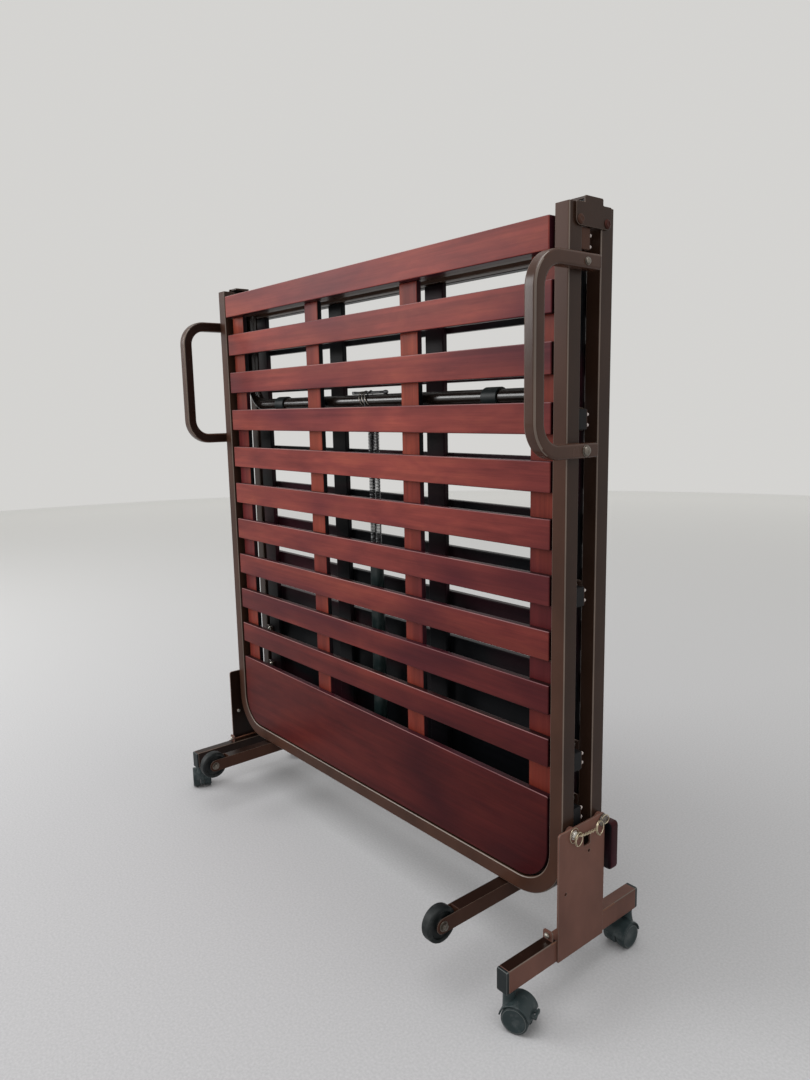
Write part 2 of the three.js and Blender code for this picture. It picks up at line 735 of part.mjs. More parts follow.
// A tube of `sides` flat faces along points, its section turned as little as possible on the way
function wireTube(points, radius, sides) {
  const positions = [];
  const normal = new THREE.Vector3(1, 0, 0);
  points.forEach((point, i) => {
    const before = points[Math.max(i - 1, 0)];
    const after = points[Math.min(i + 1, points.length - 1)];
    const tangent = after.clone().sub(before).normalize();
    normal.addScaledVector(tangent, -normal.dot(tangent)).normalize();
    const binormal = new THREE.Vector3().crossVectors(tangent, normal);
    for (let k = 0; k < sides; k += 1) {
      const angle = 2 * Math.PI * k / sides;
      const corner = point.clone()
        .addScaledVector(normal, radius * Math.cos(angle))
        .addScaledVector(binormal, radius * Math.sin(angle));
      positions.push(corner.x, corner.y, corner.z);
    }
  });
  const index = [];
  const last = points.length - 1;
  for (let i = 0; i < last; i += 1) {
    for (let k = 0; k < sides; k += 1) {
      const a = i * sides + k;
      const b = i * sides + (k + 1) % sides;
      index.push(a, b, b + sides, a, b + sides, a + sides);
    }
  }
  for (let k = 1; k < sides - 1; k += 1) {
    index.push(0, k + 1, k);
    index.push(last * sides, last * sides + k, last * sides + k + 1);
  }
  const geometry = new THREE.BufferGeometry();
  geometry.setAttribute('position', new THREE.Float32BufferAttribute(positions, 3));
  geometry.setIndex(index);
  return solid(geometry);
}

// Least clear distance of a wire to itself, measured between points at least one turn apart
function leastSelfGap(points, radius) {
  const countApart = 6;
  let least = Infinity;
  for (let i = 0; i < points.length; i += 1) {
    for (let j = i + countApart; j < points.length; j += 1) {
      least = Math.min(least, points[i].distanceTo(points[j]));
    }
  }
  return least - 2 * radius;
}

function springSleeve() {
  const shape = stadium(springSpread / 2, sleeveBore + sleeveWall);
  shape.holes.push(stadium(springSpread / 2, sleeveBore));
  const sleeve = extrude(shape, 'z', [anchorZ + sleeveRise, coilBottom + coilLap], 0, 8);
  return sleeve.translate([0, middleY, 0]);
}

function stopRail() {
  const z = endTubeBottom + stopRise;
  const face = foldedDepth + seatGap;
  return extrude(
    roundedRect([-stopLength / 2, stopLength / 2], [z, z + stopHeight], stopRadius),
    'y', [face, face + stopThickness], stopBevel, 4);
}

// T stand: foot tube, upright plate on its outer side and the pivot bolt of the front panel
function stand(side) {
  const footX = sorted(side * (plateInner - footWidth), side * plateInner);
  const footY = [footFront + capFlange, footBack - capFlange];
  const foot = extrude(roundedRect(footX, [footBottom, footTop], tubeChamfer),
    'y', footY, 0, 2);
  const footBore = box([footX[0] + tubeWall, footX[1] - tubeWall],
    [footY[0] - lap, footY[1] + lap], [footBottom + tubeWall, footTop - tubeWall]);
  const plate = extrude(
    roundedRect([plateFront, plateBack], [footBottom, plateTop], plateRadius),
    'x', sorted(side * (plateInner - weld), side * plateOuter), 0, 4);
  const bush = (y) => rod(bushRadius, 'x',
    sorted(side * (halfWidth + seatGap), side * (plateInner + weld)), [y, pivotZ]);
  const shaft = rod(pivotRadius, 'x', sorted(side * (railInner - lap), side * plateOuter),
    [pivotY, pivotZ], 12);
  const nut = rod(nutRadius, 'x',
    sorted(side * (railInner - seatGap), side * (railInner - seatGap - nutThickness)),
    [pivotY, pivotZ], 6);
  const dome = [[0, 0], [bushRadius, 0], [bushRadius * 0.9, pivotHead / 2],
    [bushRadius * 0.55, pivotHead * 0.9], [0, pivotHead]];
  const outward = dome.map(([radius, place]) => [radius, side * (plateOuter - weld + place)]);
  const head = turned(outward, 'x', [0, pivotY, pivotZ], 12);
  const stems = [footFront + stemInset, footBack - stemInset].map((y) => rod(
    stemRadius + seatGap, 'z', [footBottom - lap, footBottom + 2 * tubeWall],
    [side * footMiddle, y], 12));
  const lockHole = rod(lockRadius + runGap, 'x',
    sorted(side * halfWidth, side * (plateOuter + lap)), [lockY, pivotZ]);
  const window = box(sorted(side * (plateInner - lap), side * (plateOuter + lap)),
    [slotY - slotWidth / 2, slotY + slotWidth / 2],
    [slotZ - slotHeight / 2, slotZ + slotHeight / 2]);
  const holes = plateHoles.map(([y, z, radius]) => rod(radius, 'x',
    sorted(side * (plateInner - lap), side * (plateOuter + lap)), [y, z], 10));
  const whole = join(cut(foot, footBore), plate, bush(pivotY), bush(lockY), shaft, nut, head);
  const made = cut(whole, lockHole, window, ...holes, ...stems);
  return side > 0 ? join(made, splitRing(side, pivotY + ringRadius * 0.7)) : made;
}

// Split ring in the plane just outside the stand plate, hanging on a bolt head or a knob
function splitRing(side, y) {
  const sideCount = 16;
  const cornerCount = 5;
  const x = side * (plateOuter + 2 * ringWire);
  const section = [];
  for (let k = 0; k <= cornerCount; k += 1) {
    const angle = 2 * Math.PI * k / cornerCount;
    section.push([ringRadius + ringWire * Math.cos(angle), x + ringWire * Math.sin(angle)]);
  }
  return turned(section, 'x', [0, y, pivotZ - ringDrop], sideCount);
}

function footCap(side, end) {
  const inset = tubeWall + seatGap;
  const footX = sorted(side * (plateInner - footWidth), side * plateInner);
  const y = end < 0 ? footFront : footBack;
  const flange = extrude(roundedRect(footX, [footBottom, footTop], capRound), 'y',
    sorted(y, y - end * (capFlange - seatGap)), capBevel, 2);
  const plug = box([footX[0] + inset, footX[1] - inset],
    sorted(y - end * 2 * lap, y - end * capPlug),
    [footBottom + inset, footTop - inset]);
  return join(flange, plug);
}

// Lock pin: shank through the plate, knob, ring and the chain towards the ring on the pivot
function lockPin() {
  const side = 1;
  const knobX = plateOuter + seatGap;
  const shank = rod(lockRadius, 'x', [halfWidth + 2 * seatGap, knobX + lap], [lockY, pivotZ], 12);
  const profile = [[0, knobX], [knobRadius, knobX], [knobRadius, knobX + knobThickness * 0.5],
    [knobRadius * 0.6, knobX + knobThickness], [0, knobX + knobThickness]];
  const knob = turned(profile, 'x', [0, lockY, pivotZ], 16);
  const ringY = lockY - ringRadius * 0.2;
  return join(shank, knob, splitRing(side, ringY), chain(ringY));
}

// Chain: a row of beads on one sagging line, thick in the middle of each link
function chain(ringY) {
  const x = plateOuter + 1.5 * ringWire;
  const z = pivotZ - ringDrop - ringRadius * 0.3;
  const start = ringY - ringRadius;
  const end = pivotY + ringRadius * 1.7 + ringWire + chainWire / 2 + seatGap;
  const linkCount = 2;
  const stepCount = chainLinks * linkCount;
  const sideCount = 5;
  const positions = [];
  for (let i = 0; i <= stepCount; i += 1) {
    const t = i / stepCount;
    const swell = i % linkCount === 0 ? 0.45 : 1;
    const drop = 4 * chainSag * t * (1 - t);
    for (let k = 0; k < sideCount; k += 1) {
      const angle = 2 * Math.PI * k / sideCount;
      positions.push(
        x + chainWire * swell * Math.cos(angle) * 0.8,
        start + (end - start) * t,
        z - drop + chainWire * swell * Math.sin(angle));
    }
  }
  const index = [];
  for (let i = 0; i < stepCount; i += 1) {
    for (let k = 0; k < sideCount; k += 1) {
      const a = i * sideCount + k;
      const b = i * sideCount + (k + 1) % sideCount;
      index.push(a, b + sideCount, b, a, a + sideCount, b + sideCount);
    }
  }
  for (let k = 1; k < sideCount - 1; k += 1) {
    index.push(0, k, k + 1);
    index.push(stepCount * sideCount, stepCount * sideCount + k + 1, stepCount * sideCount + k);
  }
  const geometry = new THREE.BufferGeometry();
  geometry.setAttribute('position', new THREE.Float32BufferAttribute(positions, 3));
  geometry.setIndex(index);
  const made = solid(geometry);
  return made.volume() < 0 ? solid(flipped(geometry)) : made;
}

// Caster, drawn about its stem: it trails towards +X and its axle runs along Y. The hood is a
// fender over both wheels with a web between them, which carries the axle and the stem.
function casterHood(withBrake) {
  const fenderIn = casterRadius + hoodGap;
  const fenderOut = fenderIn + hoodWall;
  const wide = casterWidth / 2;
  const axis = [casterTrail, casterRadius];
  const beyond = 2 * fenderOut;
  const belowAxle = box([-beyond, beyond + casterTrail], [-wide - lap, wide + lap],
    [casterRadius - beyond, casterRadius + hoodCut]);
  const ring = circle(...axis, fenderOut);
  ring.holes.push(circle(...axis, fenderIn));
  const fender = extrude(ring, 'y', [-wide, wide], 0, 20);
  const web = extrude(circle(...axis, fenderOut - hoodWall / 2), 'y',
    [-casterWeb / 2, casterWeb / 2], 0, 16);
  const belowWeb = box([-beyond, beyond + casterTrail], [-wide, wide],
    [casterRadius - beyond, casterRadius / 2]);
  const collarTop = footBottom - seatGap;
  const collarFoot = casterRadius + casterWeb / 2;
  const collar = turned([[0, collarFoot], [casterWeb / 2, collarFoot],
    [collarRadius, casterRadius + fenderIn], [collarRadius, collarTop], [0, collarTop]],
  'z', [0, 0, 0], 14);
  const room = [-1, 1].map((side) => extrude(circle(...axis, fenderIn), 'y',
    sorted(side * casterWeb / 2, side * (wide + lap)), 0, 20));
  const stem = rod(stemRadius, 'z', [collarTop - lap, stemTop], [0, 0], 12);
  const axleHole = rod(casterAxle + runGap, 'y', [-wide, wide], axis, 12);
  const parts = [cut(fender, belowAxle), cut(web, belowWeb), cut(collar, ...room), stem];
  if (withBrake) {
    const start = casterTrail + fenderOut - hoodWall / 2;
    parts.push(extrude(roundedRect([start, start + brakeReach], [-brakeWidth / 2, brakeWidth / 2],
      brakeReach / 3), 'z', [casterRadius + hoodCut, casterRadius + hoodCut + brakeHeight], 0, 2));
  }
  return cut(join(...parts), axleHole);
}

// Two wheels on one axle, which runs through the web of the hood
function casterWheels() {
  const wide = casterWidth / 2;
  const inner = casterWeb / 2 + hoodGap / 2;
  const dished = -wide + casterDish;
  const tyre = [[0, dished], [casterRadius * 0.6, dished], [casterRadius * 0.7, -wide],
    [casterRadius - casterRound, -wide], [casterRadius, -wide + casterRound],
    [casterRadius, -inner - casterDish], [casterAxle, -inner]];
  const other = tyre.map(([radius, place]) => [radius, -place]).reverse();
  return turned([...tyre, ...other], 'y', [casterTrail, 0, casterRadius], 16);
}

function legWheel(side) {
  const half = legWheelWidth / 2;
  const bore = legAxleRadius + runGap;
  const rim = legWheelRadius;
  const dished = -half + legWheelDish;
  const profile = [[bore, -half + lap], [rim * 0.35, -half], [rim * 0.42, dished],
    [rim * 0.72, dished], [rim * 0.78, -half], [rim, -half + legWheelRound]];
  const other = profile.map(([radius, place]) => [radius, -place]).reverse();
  const closed = [...profile, ...other, profile[0]];
  return turned(closed, 'x', [side * wheelLegX, legWheelY, wheelLegZ], 20);
}

// Assembly
const bed = new THREE.Group();
bed.position.y = -originY;

const frontPanel = new THREE.Group();
frontPanel.add(piece('front_frame', brownSteel, frontFrame()));
addDeck(frontPanel, 'front', redWood);
frontPanel.add(piece('handle_right', brownSteel, handle(1)));
frontPanel.add(piece('handle_left', brownSteel, handle(-1)));
bed.add(frontPanel);

const rearPanel = new THREE.Group();
rearPanel.add(piece('rear_frame', brownSteel, rearFrame()));
addDeck(rearPanel, 'rear', darkWood);
rearPanel.rotation.z = Math.PI;
rearPanel.position.y = foldedDepth;
bed.add(rearPanel);
bed.add(piece('stop_rail', redWood, stopRail()));

bed.add(piece('center_leg', brownSteel, centreLeg()));
bed.add(piece('leg_sleeve_right', blackPlastic, legSleeve(1)));
bed.add(piece('leg_sleeve_left', blackPlastic, legSleeve(-1)));

for (const [name, side] of [['spring_right', 1], ['spring_left', -1]]) {
  const wire = springWire(side * springSpread / 2);
  const gap = leastSelfGap(wire, wireRadius).toFixed(2);
  console.log(`${name}: least gap of the wire to itself ${gap} mm`);
  bed.add(piece(name, springSteel, wireTube(wire, wireRadius, 5)));
}
bed.add(piece('spring_sleeve', blackPlastic, springSleeve()));
bed.add(piece('spring_yoke', brownSteel, springYoke()));

for (const [word, side] of [['right', 1], ['left', -1]]) {
  bed.add(piece(`stand_${word}`, brownSteel, stand(side)));
  bed.add(piece(`foot_cap_front_${word}`, blackPlastic, footCap(side, -1)));
  bed.add(piece(`foot_cap_rear_${word}`, blackPlastic, footCap(side, 1)));
  bed.add(piece(`leg_wheel_${word}`, rubber, legWheel(side)));
  for (const [where, y] of [['front', footFront + stemInset], ['rear', footBack - stemInset]]) {
    const caster = new THREE.Group();
    const isFront = where === 'front';
    caster.add(piece(`caster_hood_${where}_${word}`, blackPlastic, casterHood(isFront)));
    caster.add(piece(`caster_wheels_${where}_${word}`, rubber, casterWheels()));
    caster.position.set(side * footMiddle, y, 0);
    const frontTurn = side > 0 ? frontCasterTurn : 180 - frontCasterTurn;
    caster.rotation.z = THREE.MathUtils.degToRad(isFront ? frontTurn : -90);
    bed.add(caster);
  }
}
bed.add(piece('lock_pin', zinc, lockPin()));

export default bed;
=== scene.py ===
"""A folding slatted bed on two rolling stands, dressed round its fixed CAD frame.

Shapes are worked out in millimetres in the bed's own coordinates: X across the bed from its
middle, Y from the front face of the front rails, Z from the floor. place() turns them into
metres in the frame's coordinates.
"""

import math

import bmesh
import bpy
import numpy as np
from mathutils import Matrix, Vector
from mathutils.geometry import delaunay_2d_cdt


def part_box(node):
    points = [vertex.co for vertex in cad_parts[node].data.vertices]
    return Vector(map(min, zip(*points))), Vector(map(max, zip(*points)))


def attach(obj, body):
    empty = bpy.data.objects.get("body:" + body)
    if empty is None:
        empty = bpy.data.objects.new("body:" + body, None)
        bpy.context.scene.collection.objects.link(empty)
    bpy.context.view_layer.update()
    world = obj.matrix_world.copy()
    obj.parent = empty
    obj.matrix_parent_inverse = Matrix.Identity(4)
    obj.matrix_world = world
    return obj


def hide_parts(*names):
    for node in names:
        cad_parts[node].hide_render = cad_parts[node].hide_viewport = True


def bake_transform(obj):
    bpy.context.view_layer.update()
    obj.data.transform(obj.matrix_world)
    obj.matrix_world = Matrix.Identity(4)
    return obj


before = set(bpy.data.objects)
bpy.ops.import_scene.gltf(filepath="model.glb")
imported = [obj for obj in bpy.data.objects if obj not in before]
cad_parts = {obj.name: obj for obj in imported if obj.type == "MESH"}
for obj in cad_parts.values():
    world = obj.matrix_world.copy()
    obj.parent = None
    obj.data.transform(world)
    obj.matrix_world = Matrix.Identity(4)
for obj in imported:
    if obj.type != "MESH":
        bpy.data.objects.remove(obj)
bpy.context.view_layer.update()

MM = 0.001
FACE_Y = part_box("front_frame")[0].y      # front face of the front rails
GAP = 0.3                                # between pieces that touch
SOFT_CORNER = 40.0                       # degrees, below which a corner is softened
SIDES = (-1, 1)                          # left, right
SIDE_WORDS = ((1, "right"), (-1, "left"))

# Panel frames: one bent square tube each, closed at the bottom
HALF_WIDTH = 485.0                       # over the side rails
RAIL_WIDTH = 25.0
RAIL_DEPTH = 27.0
RAIL_ROUND = 2.6
RAIL_INNER = HALF_WIDTH - RAIL_WIDTH
RAIL_TOP = 1119.0
CORNER_RADIUS = 62.0                     # inside of the two lower bends
END_TUBE_BOTTOM = 119.0
END_TUBE_TOP = END_TUBE_BOTTOM + RAIL_WIDTH
PANEL_GAP = 40.0                         # between the folded panels
FOLDED_DEPTH = 2 * RAIL_DEPTH + PANEL_GAP
MIDDLE_Y = FOLDED_DEPTH / 2
CROSS_BOTTOM = RAIL_TOP - 57.0
CROSS_HEIGHT = 25.0
CROSS_DEPTH = 19.0

# Slats, end boards and laths
SLAT_COUNT = 10
SLAT_HEIGHT = 44.0
SLAT_TOP = RAIL_TOP - 13.0
SLAT_HALF = RAIL_INNER - 5.0
SLAT_FACE = 2.0
SLAT_BACK = 14.0
SLAT_ROUND = 1.8
FIRST_HEIGHT = 44.5
FIRST_PROUD = 6.0                        # the first slat stands out from the others
FIRST_SHORT = 6.0                        # and is shorter at its left end
BOARD_BOTTOM = END_TUBE_TOP + 2.0
BOARD_TOP = BOARD_BOTTOM + 145.0
BOARD_RISE = 9.0                         # of its upper edge towards the left
BOARD_RADIUS = 58.0
BOARD_GAP = 45.6                         # from the last slat to the end board
SLAT_PITCH = (SLAT_TOP - SLAT_HEIGHT - BOARD_GAP - BOARD_TOP) / (SLAT_COUNT - 1)
LATH_FRONT = SLAT_BACK + GAP
LATH_BACK = LATH_FRONT + 10.0
LATH_WIDTH = 45.0
LATH_ROUND = 2.0
LATH_OUTER = RAIL_INNER - 30.0           # middle of the outer laths
LATH_INNER = LATH_OUTER / 3
LATH_PLACES = (-LATH_OUTER, -LATH_INNER, LATH_INNER, LATH_OUTER)
LATH_TOP = CROSS_BOTTOM - GAP
LATH_BOTTOMS = {LATH_INNER: END_TUBE_TOP + GAP, LATH_OUTER: END_TUBE_BOTTOM + 61.0}

# Tabs that carry the laths, and lugs behind the front rails
TAB_HEIGHTS = tuple(RAIL_TOP - drop for drop in (279.0, 527.0, 773.0, 859.0))
TAB_WIDTH = 30.0
TAB_REACH = 24.0
TAB_THICKNESS = 2.4
TAB_Y = (LATH_BACK + GAP, LATH_BACK + GAP + TAB_THICKNESS)
LUG_HEIGHTS = (RAIL_TOP - 44.0, *TAB_HEIGHTS)
LUG_X = (RAIL_INNER + 2.0, HALF_WIDTH - 1.0)
LUG_BACK = RAIL_DEPTH + 16.5

# Pivots of the front panel in the stands, and of both panels in the link
PIVOT_Y = RAIL_DEPTH / 2
PIVOT_Z = END_TUBE_BOTTOM + 125.0
LOCK_Y = FOLDED_DEPTH - PIVOT_Y
HINGE_Z = RAIL_TOP - 22.0
HINGE_Y = (19.0, FOLDED_DEPTH - 19.0)
PIVOT_NUT = 8.0

# Link and middle leg
PLATE_IN = HALF_WIDTH + GAP
PLATE_OUT = PLATE_IN + 3.0
BRACKET_Y = (HINGE_Y[0] - 9.0, HINGE_Y[1] + 9.0)
BRACKET_BOTTOM = HINGE_Z - 7.5
BRACKET_TOP = RAIL_TOP + 9.0
BRACKET_NECK = 38.0
FLANGE_BOTTOM = BRACKET_TOP - 4.0
FLANGE_LENGTH = 26.0
FLANGE_DEPTH = 32.0
WEB_DEPTH = 6.0
WEB_Z = (RAIL_TOP - 29.0, RAIL_TOP - 15.0)
LEG_RADIUS = 12.5
LEG_TUBE_WALL = 1.6
LEG_HALF_SPAN = HALF_WIDTH - 56.0
LEG_BEND = 45.0
LEG_Z = 874.0
SLEEVE_HALF_SPREAD = LEG_HALF_SPAN - 123.0
SLEEVE_LENGTH = 32.0
SLEEVE_WALL = 3.0

# Springs between the pin in the rear panel and the rod on the middle leg
ROD_RADIUS = 2.6
ROD_Z = LEG_Z + LEG_RADIUS + 0.2 + ROD_RADIUS
ROD_SPAN = (-58.0, 44.0)
HOOK_X = -12.0                           # middle of the two upper hooks
WRAP_STARTS = (-37.0, -32.5, -28.0, -23.5)
WRAP_WIRE = 0.9
SPRING_X = 7.3                           # from the middle of the bed to a spring's axis
COIL_RADIUS = 5.2
WIRE_RADIUS = {-1: 1.0, 1: 0.75}         # the right spring's wire is thinner
COIL_PITCH = 2.7
COIL_COUNT = 93
COIL_TOP = LEG_Z - LEG_RADIUS - 12.5
COIL_BOTTOM = COIL_TOP - COIL_COUNT * COIL_PITCH
ANCHOR_Z = END_TUBE_BOTTOM + 51.0
ANCHOR_RADIUS = 5.0
ANCHOR_EAR = 10.0                        # radius of the ears that hold the spring pin
EAR_X = (22.0, 25.0)
TUBE_BORE = 6.6
TUBE_WALL = 1.5
TUBE_BOTTOM = ANCHOR_Z + 15.0
TUBE_TOP = COIL_BOTTOM + 6.0

# Grab handles
HANDLE_TUBE = 20.0
HANDLE_FRONT = -88.0
HANDLE_END = 43.0
HANDLE_ARMS = {1: (799.0, 1043.0), -1: (803.5, 1044.5)}
HANDLE_BEND = 40.0                       # to the middle of the tube

# Rear legs
LEG_X = 365.0
FORK_WIDTH = 22.0
FORK_HEIGHT = 25.0
FORK_WALL = 1.7
FORK_SLOT = 33.0                         # open length of the fork behind the axle
FORK_Z = 104.5
WHEEL_Y = -135.5
WHEEL_RADIUS = 28.0
WHEEL_WIDTH = 17.4
WHEEL_AXLE = (WHEEL_Y, FORK_Z)

# Stands
STAND_IN = HALF_WIDTH + 8.0
STAND_OUT = STAND_IN + 3.0
STAND_Y = (-20.0, 86.0)
STAND_TOP = 255.0
FOOT_WIDTH = 20.0
FOOT_X = STAND_IN - FOOT_WIDTH / 2
FOOT_Z = (54.0, 89.0)
FOOT_Y = (-120.0, 176.0)
CAP_Y = (FOOT_Y[0] - 5.0, FOOT_Y[1] + 5.0)
PLATE_WINDOW = (43.6, 225.5, 15.5, 17.0)           # y, z, width and height
PLATE_HOLES = ((49.0, 206.0), (-4.0, 157.0))       # y and z
PLATE_HOLE_RADIUS = 2.6
LOCK_HOLE_RADIUS = 4.3
BUSH_RADIUS = 9.0
TAB_FACE = STAND_Y[0] - 8.0               # of the small bolted tab on the foot
STOP_RAIL = ((-503.0, 503.0), (94.3, 111.8), (157.0, 234.0))
STOP_BEVEL = 3.4

# Casters, each drawn about its stem and then turned
STEM_Y = {"front": -110.0, "rear": 166.0}
CASTER_RADIUS = 20.0
CASTER_TRAIL = 14.0
CASTER_WIDTH = 40.0
CASTER_TURN = 23.0                       # degrees, of the front right caster
FENDER_RADIUS = 22.0

# Links of the lock pin's chain
LINK_PITCH = 3.6
LINK_HALF_LENGTH = 2.9
LINK_HALF_WIDTH = 1.6
LINK_WIRE = 0.6

# Camera, floor and light, in metres and degrees
CAMERA_PLACE = (1.181, -0.86775, 0.859)
CAMERA_YAW = 50.45
CAMERA_PITCH = 9.24
CAMERA_ROLL = 1.18
FOCAL_PIXELS = 805.46
PHOTO_HEIGHT = 1080
SENSOR = 36.0
FLOOR_RADIUS = 7.0
# Floor colour near the bed and at its edge: painted light, lighter far out to match the sky.
FLOOR_NEAR = (0.47, 0.47, 0.48)
FLOOR_FAR = (0.9, 0.9, 0.88)
SKY_COLOR = (1.0, 0.99, 0.965, 1.0)
SKY_STRENGTH = 0.66


# Shapes: a shape is a pair of arrays, corners (n, 3) and faces as lists of corner numbers

def joined(*shapes):
    """All the shapes as one: the face numbers of each are raised by the corners before it."""
    corners, faces, start = [], [], 0
    for points, polygons in shapes:
        corners.append(points)
        faces.extend([[i + start for i in face] for face in polygons])
        start += len(points)
    return np.concatenate(corners), faces


def as_front(shape):
    """The front panel's shape as it is."""
    return shape


def as_rear(shape):
    """The front panel's shape as the rear panel's: half a turn about the upright through the
    middle of the folded bed, so x becomes -x and y becomes FOLDED_DEPTH - y."""
    points, faces = shape
    return points * np.array([-1.0, -1.0, 1.0]) + np.array([0.0, FOLDED_DEPTH, 0.0]), faces


PANELS = (("front", as_front, -1), ("rear", as_rear, 1))       # with the y their slats face


def turning(axis, angle):
    """Matrix that turns rows (x, y, z) by an angle about an axis through the origin."""
    first, second = {"y": (2, 0), "z": (0, 1)}[axis]
    matrix = np.eye(3)
    matrix[first, first] = matrix[second, second] = math.cos(angle)
    matrix[first, second], matrix[second, first] = math.sin(angle), -math.sin(angle)
    return matrix


AXES = {
    "x": np.array([[0.0, 1, 0], [0, 0, 1], [1, 0, 0]]),
    "y": np.array([[1.0, 0, 0], [0, 0, 1], [0, 1, 0]]),
    "z": np.array([[1.0, 0, 0], [0, 1, 0], [0, 0, 1]]),
}


def along_axis(local, axis):
    """Local (a, b, s) as (x, y, z), with s along the named axis."""
    return local @ AXES[axis]


def rounded_rect(half_a, half_b, radius, steps=4):
    """Loop of a rectangle with rounded corners: at each corner centre, a quarter circle of
    points centre + radius * (cos t, sin t)."""
    radius = max(min(radius, half_a - 1e-3, half_b - 1e-3), 1e-3)
    quarter = np.linspace(0, np.pi / 2, steps + 1)
    loops = []
    for corner, (sign_a, sign_b) in enumerate(((1, 1), (-1, 1), (-1, -1), (1, -1))):
        angle = quarter + corner * np.pi / 2
        loops.append(np.stack([
            sign_a * (half_a - radius) + radius * np.cos(angle),
            sign_b * (half_b - radius) + radius * np.sin(angle)], -1))
    return np.concatenate(loops)


def circle(radius, steps=32, centre=(0.0, 0.0)):
    """Loop of a circle: centre + radius * (cos t, sin t)."""
    t = np.arange(steps) * 2 * np.pi / steps
    return np.stack([centre[0] + radius * np.cos(t), centre[1] + radius * np.sin(t)], -1)


def box_loop(x, z):
    """Corners of an upright rectangle given by its limits."""
    return (x[0], z[0]), (x[1], z[0]), (x[1], z[1]), (x[0], z[1])


def outward(side, near, far):
    """Limits in x of a piece on one side of the bed, from its distances to the middle."""
    return sorted((side * near, side * far))


def end_rounding(radius, steps=3):
    """Stations of a rounded end: how far in along the axis, and how much the section shrinks
    there, radius * (1 - cos t) and radius * (1 - sin t)."""
    t = np.linspace(0, np.pi / 2, steps + 1)
    return radius * (1 - np.cos(t)), radius * (1 - np.sin(t))


def loft(rings, caps=True, closed_path=False):
    """Skin over rings of equal length: each point joins the same point of the next ring.
    The first and last rings are filled unless the path closes on itself."""
    count, size = rings.shape[:2]
    index = np.arange(count * size).reshape(count, size)
    beside = np.roll(index, -1, axis=1)
    if closed_path:
        after, after_beside = np.roll(index, -1, axis=0), np.roll(beside, -1, axis=0)
        quads = np.stack([index, beside, after_beside, after], -1)
    else:
        quads = np.stack([index[:-1], beside[:-1], beside[1:], index[1:]], -1)
    faces = quads.reshape(-1, 4).tolist()
    if caps and not closed_path:
        faces += [index[0][::-1].tolist(), index[-1].tolist()]
    return rings.reshape(-1, 3), faces


def bar(axis, span, half_a, half_b, radius, end_radius=1.0, steps=4, centre=(0.0, 0.0)):
    """Straight bar of rounded rectangular section with rounded ends: the section shrinks over
    the last end_radius at both ends. centre is the place of the section across the axis."""
    into, shrink = end_rounding(end_radius)
    stations = np.concatenate([span[0] + into, span[1] - into[::-1]])
    shrinks = np.concatenate([shrink, shrink[::-1]])
    rings = np.stack([
        np.column_stack([
            rounded_rect(half_a - s, half_b - s, radius - s, steps) + np.array(centre),
            np.full(4 * (steps + 1), place)])
        for place, s in zip(stations, shrinks)])
    return loft(along_axis(rings, axis))


def box_bar(x, y, z, radius, axis="x", end_radius=1.0):
    """Rounded bar given by its limits in x, y and z."""
    wide, high, span = {"x": (y, z, x), "y": (x, z, y), "z": (x, y, z)}[axis]
    return bar(axis, span, (wide[1] - wide[0]) / 2, (high[1] - high[0]) / 2, radius, end_radius,
               centre=(sum(wide) / 2, sum(high) / 2))


def corner_arc(before, corner, after, radius, steps):
    """Points of the circle of that radius that touches both sides of a corner."""
    to_before = (before - corner) / np.linalg.norm(before - corner)
    to_after = (after - corner) / np.linalg.norm(after - corner)
    half = math.acos(np.clip(to_before @ to_after, -1, 1)) / 2
    middle = (to_before + to_after) / np.linalg.norm(to_before + to_after)
    centre = corner + middle * radius / math.sin(half)
    start = corner + to_before * radius / math.tan(half) - centre
    end = corner + to_after * radius / math.tan(half) - centre
    angle = math.acos(np.clip(start @ end / radius ** 2, -1, 1))
    t = np.linspace(0, 1, steps + 1)[:, None]
    return centre + (np.sin((1 - t) * angle) * start + np.sin(t * angle) * end) / math.sin(angle)


def rounded_outline(corners, radii, steps=5):
    """Polygon with a circle's arc at every corner whose radius isn't zero."""
    corners = np.asarray(corners, float)
    return np.concatenate([
        corner[None] if radius <= 0 else
        corner_arc(corners[i - 1], corner, corners[(i + 1) % len(corners)], radius, steps)
        for i, (corner, radius) in enumerate(zip(corners, radii))])


def rounded_path(points, radius, steps=12):
    """Open path with arcs of one radius at its inner corners."""
    points = np.asarray(points, float)
    bends = [corner_arc(*points[i - 1:i + 2], radius, steps) for i in range(1, len(points) - 1)]
    return np.concatenate([points[:1], *bends, points[-1:]])


def smoothed(path, times=2):
    """Open path with its corners cut: every side keeps its points at 1/4 and 3/4."""
    for _ in range(times):
        near, far = 0.75 * path[:-1] + 0.25 * path[1:], 0.25 * path[:-1] + 0.75 * path[1:]
        path = np.concatenate([path[:1], np.stack([near, far], 1).reshape(-1, 3), path[-1:]])
    return path


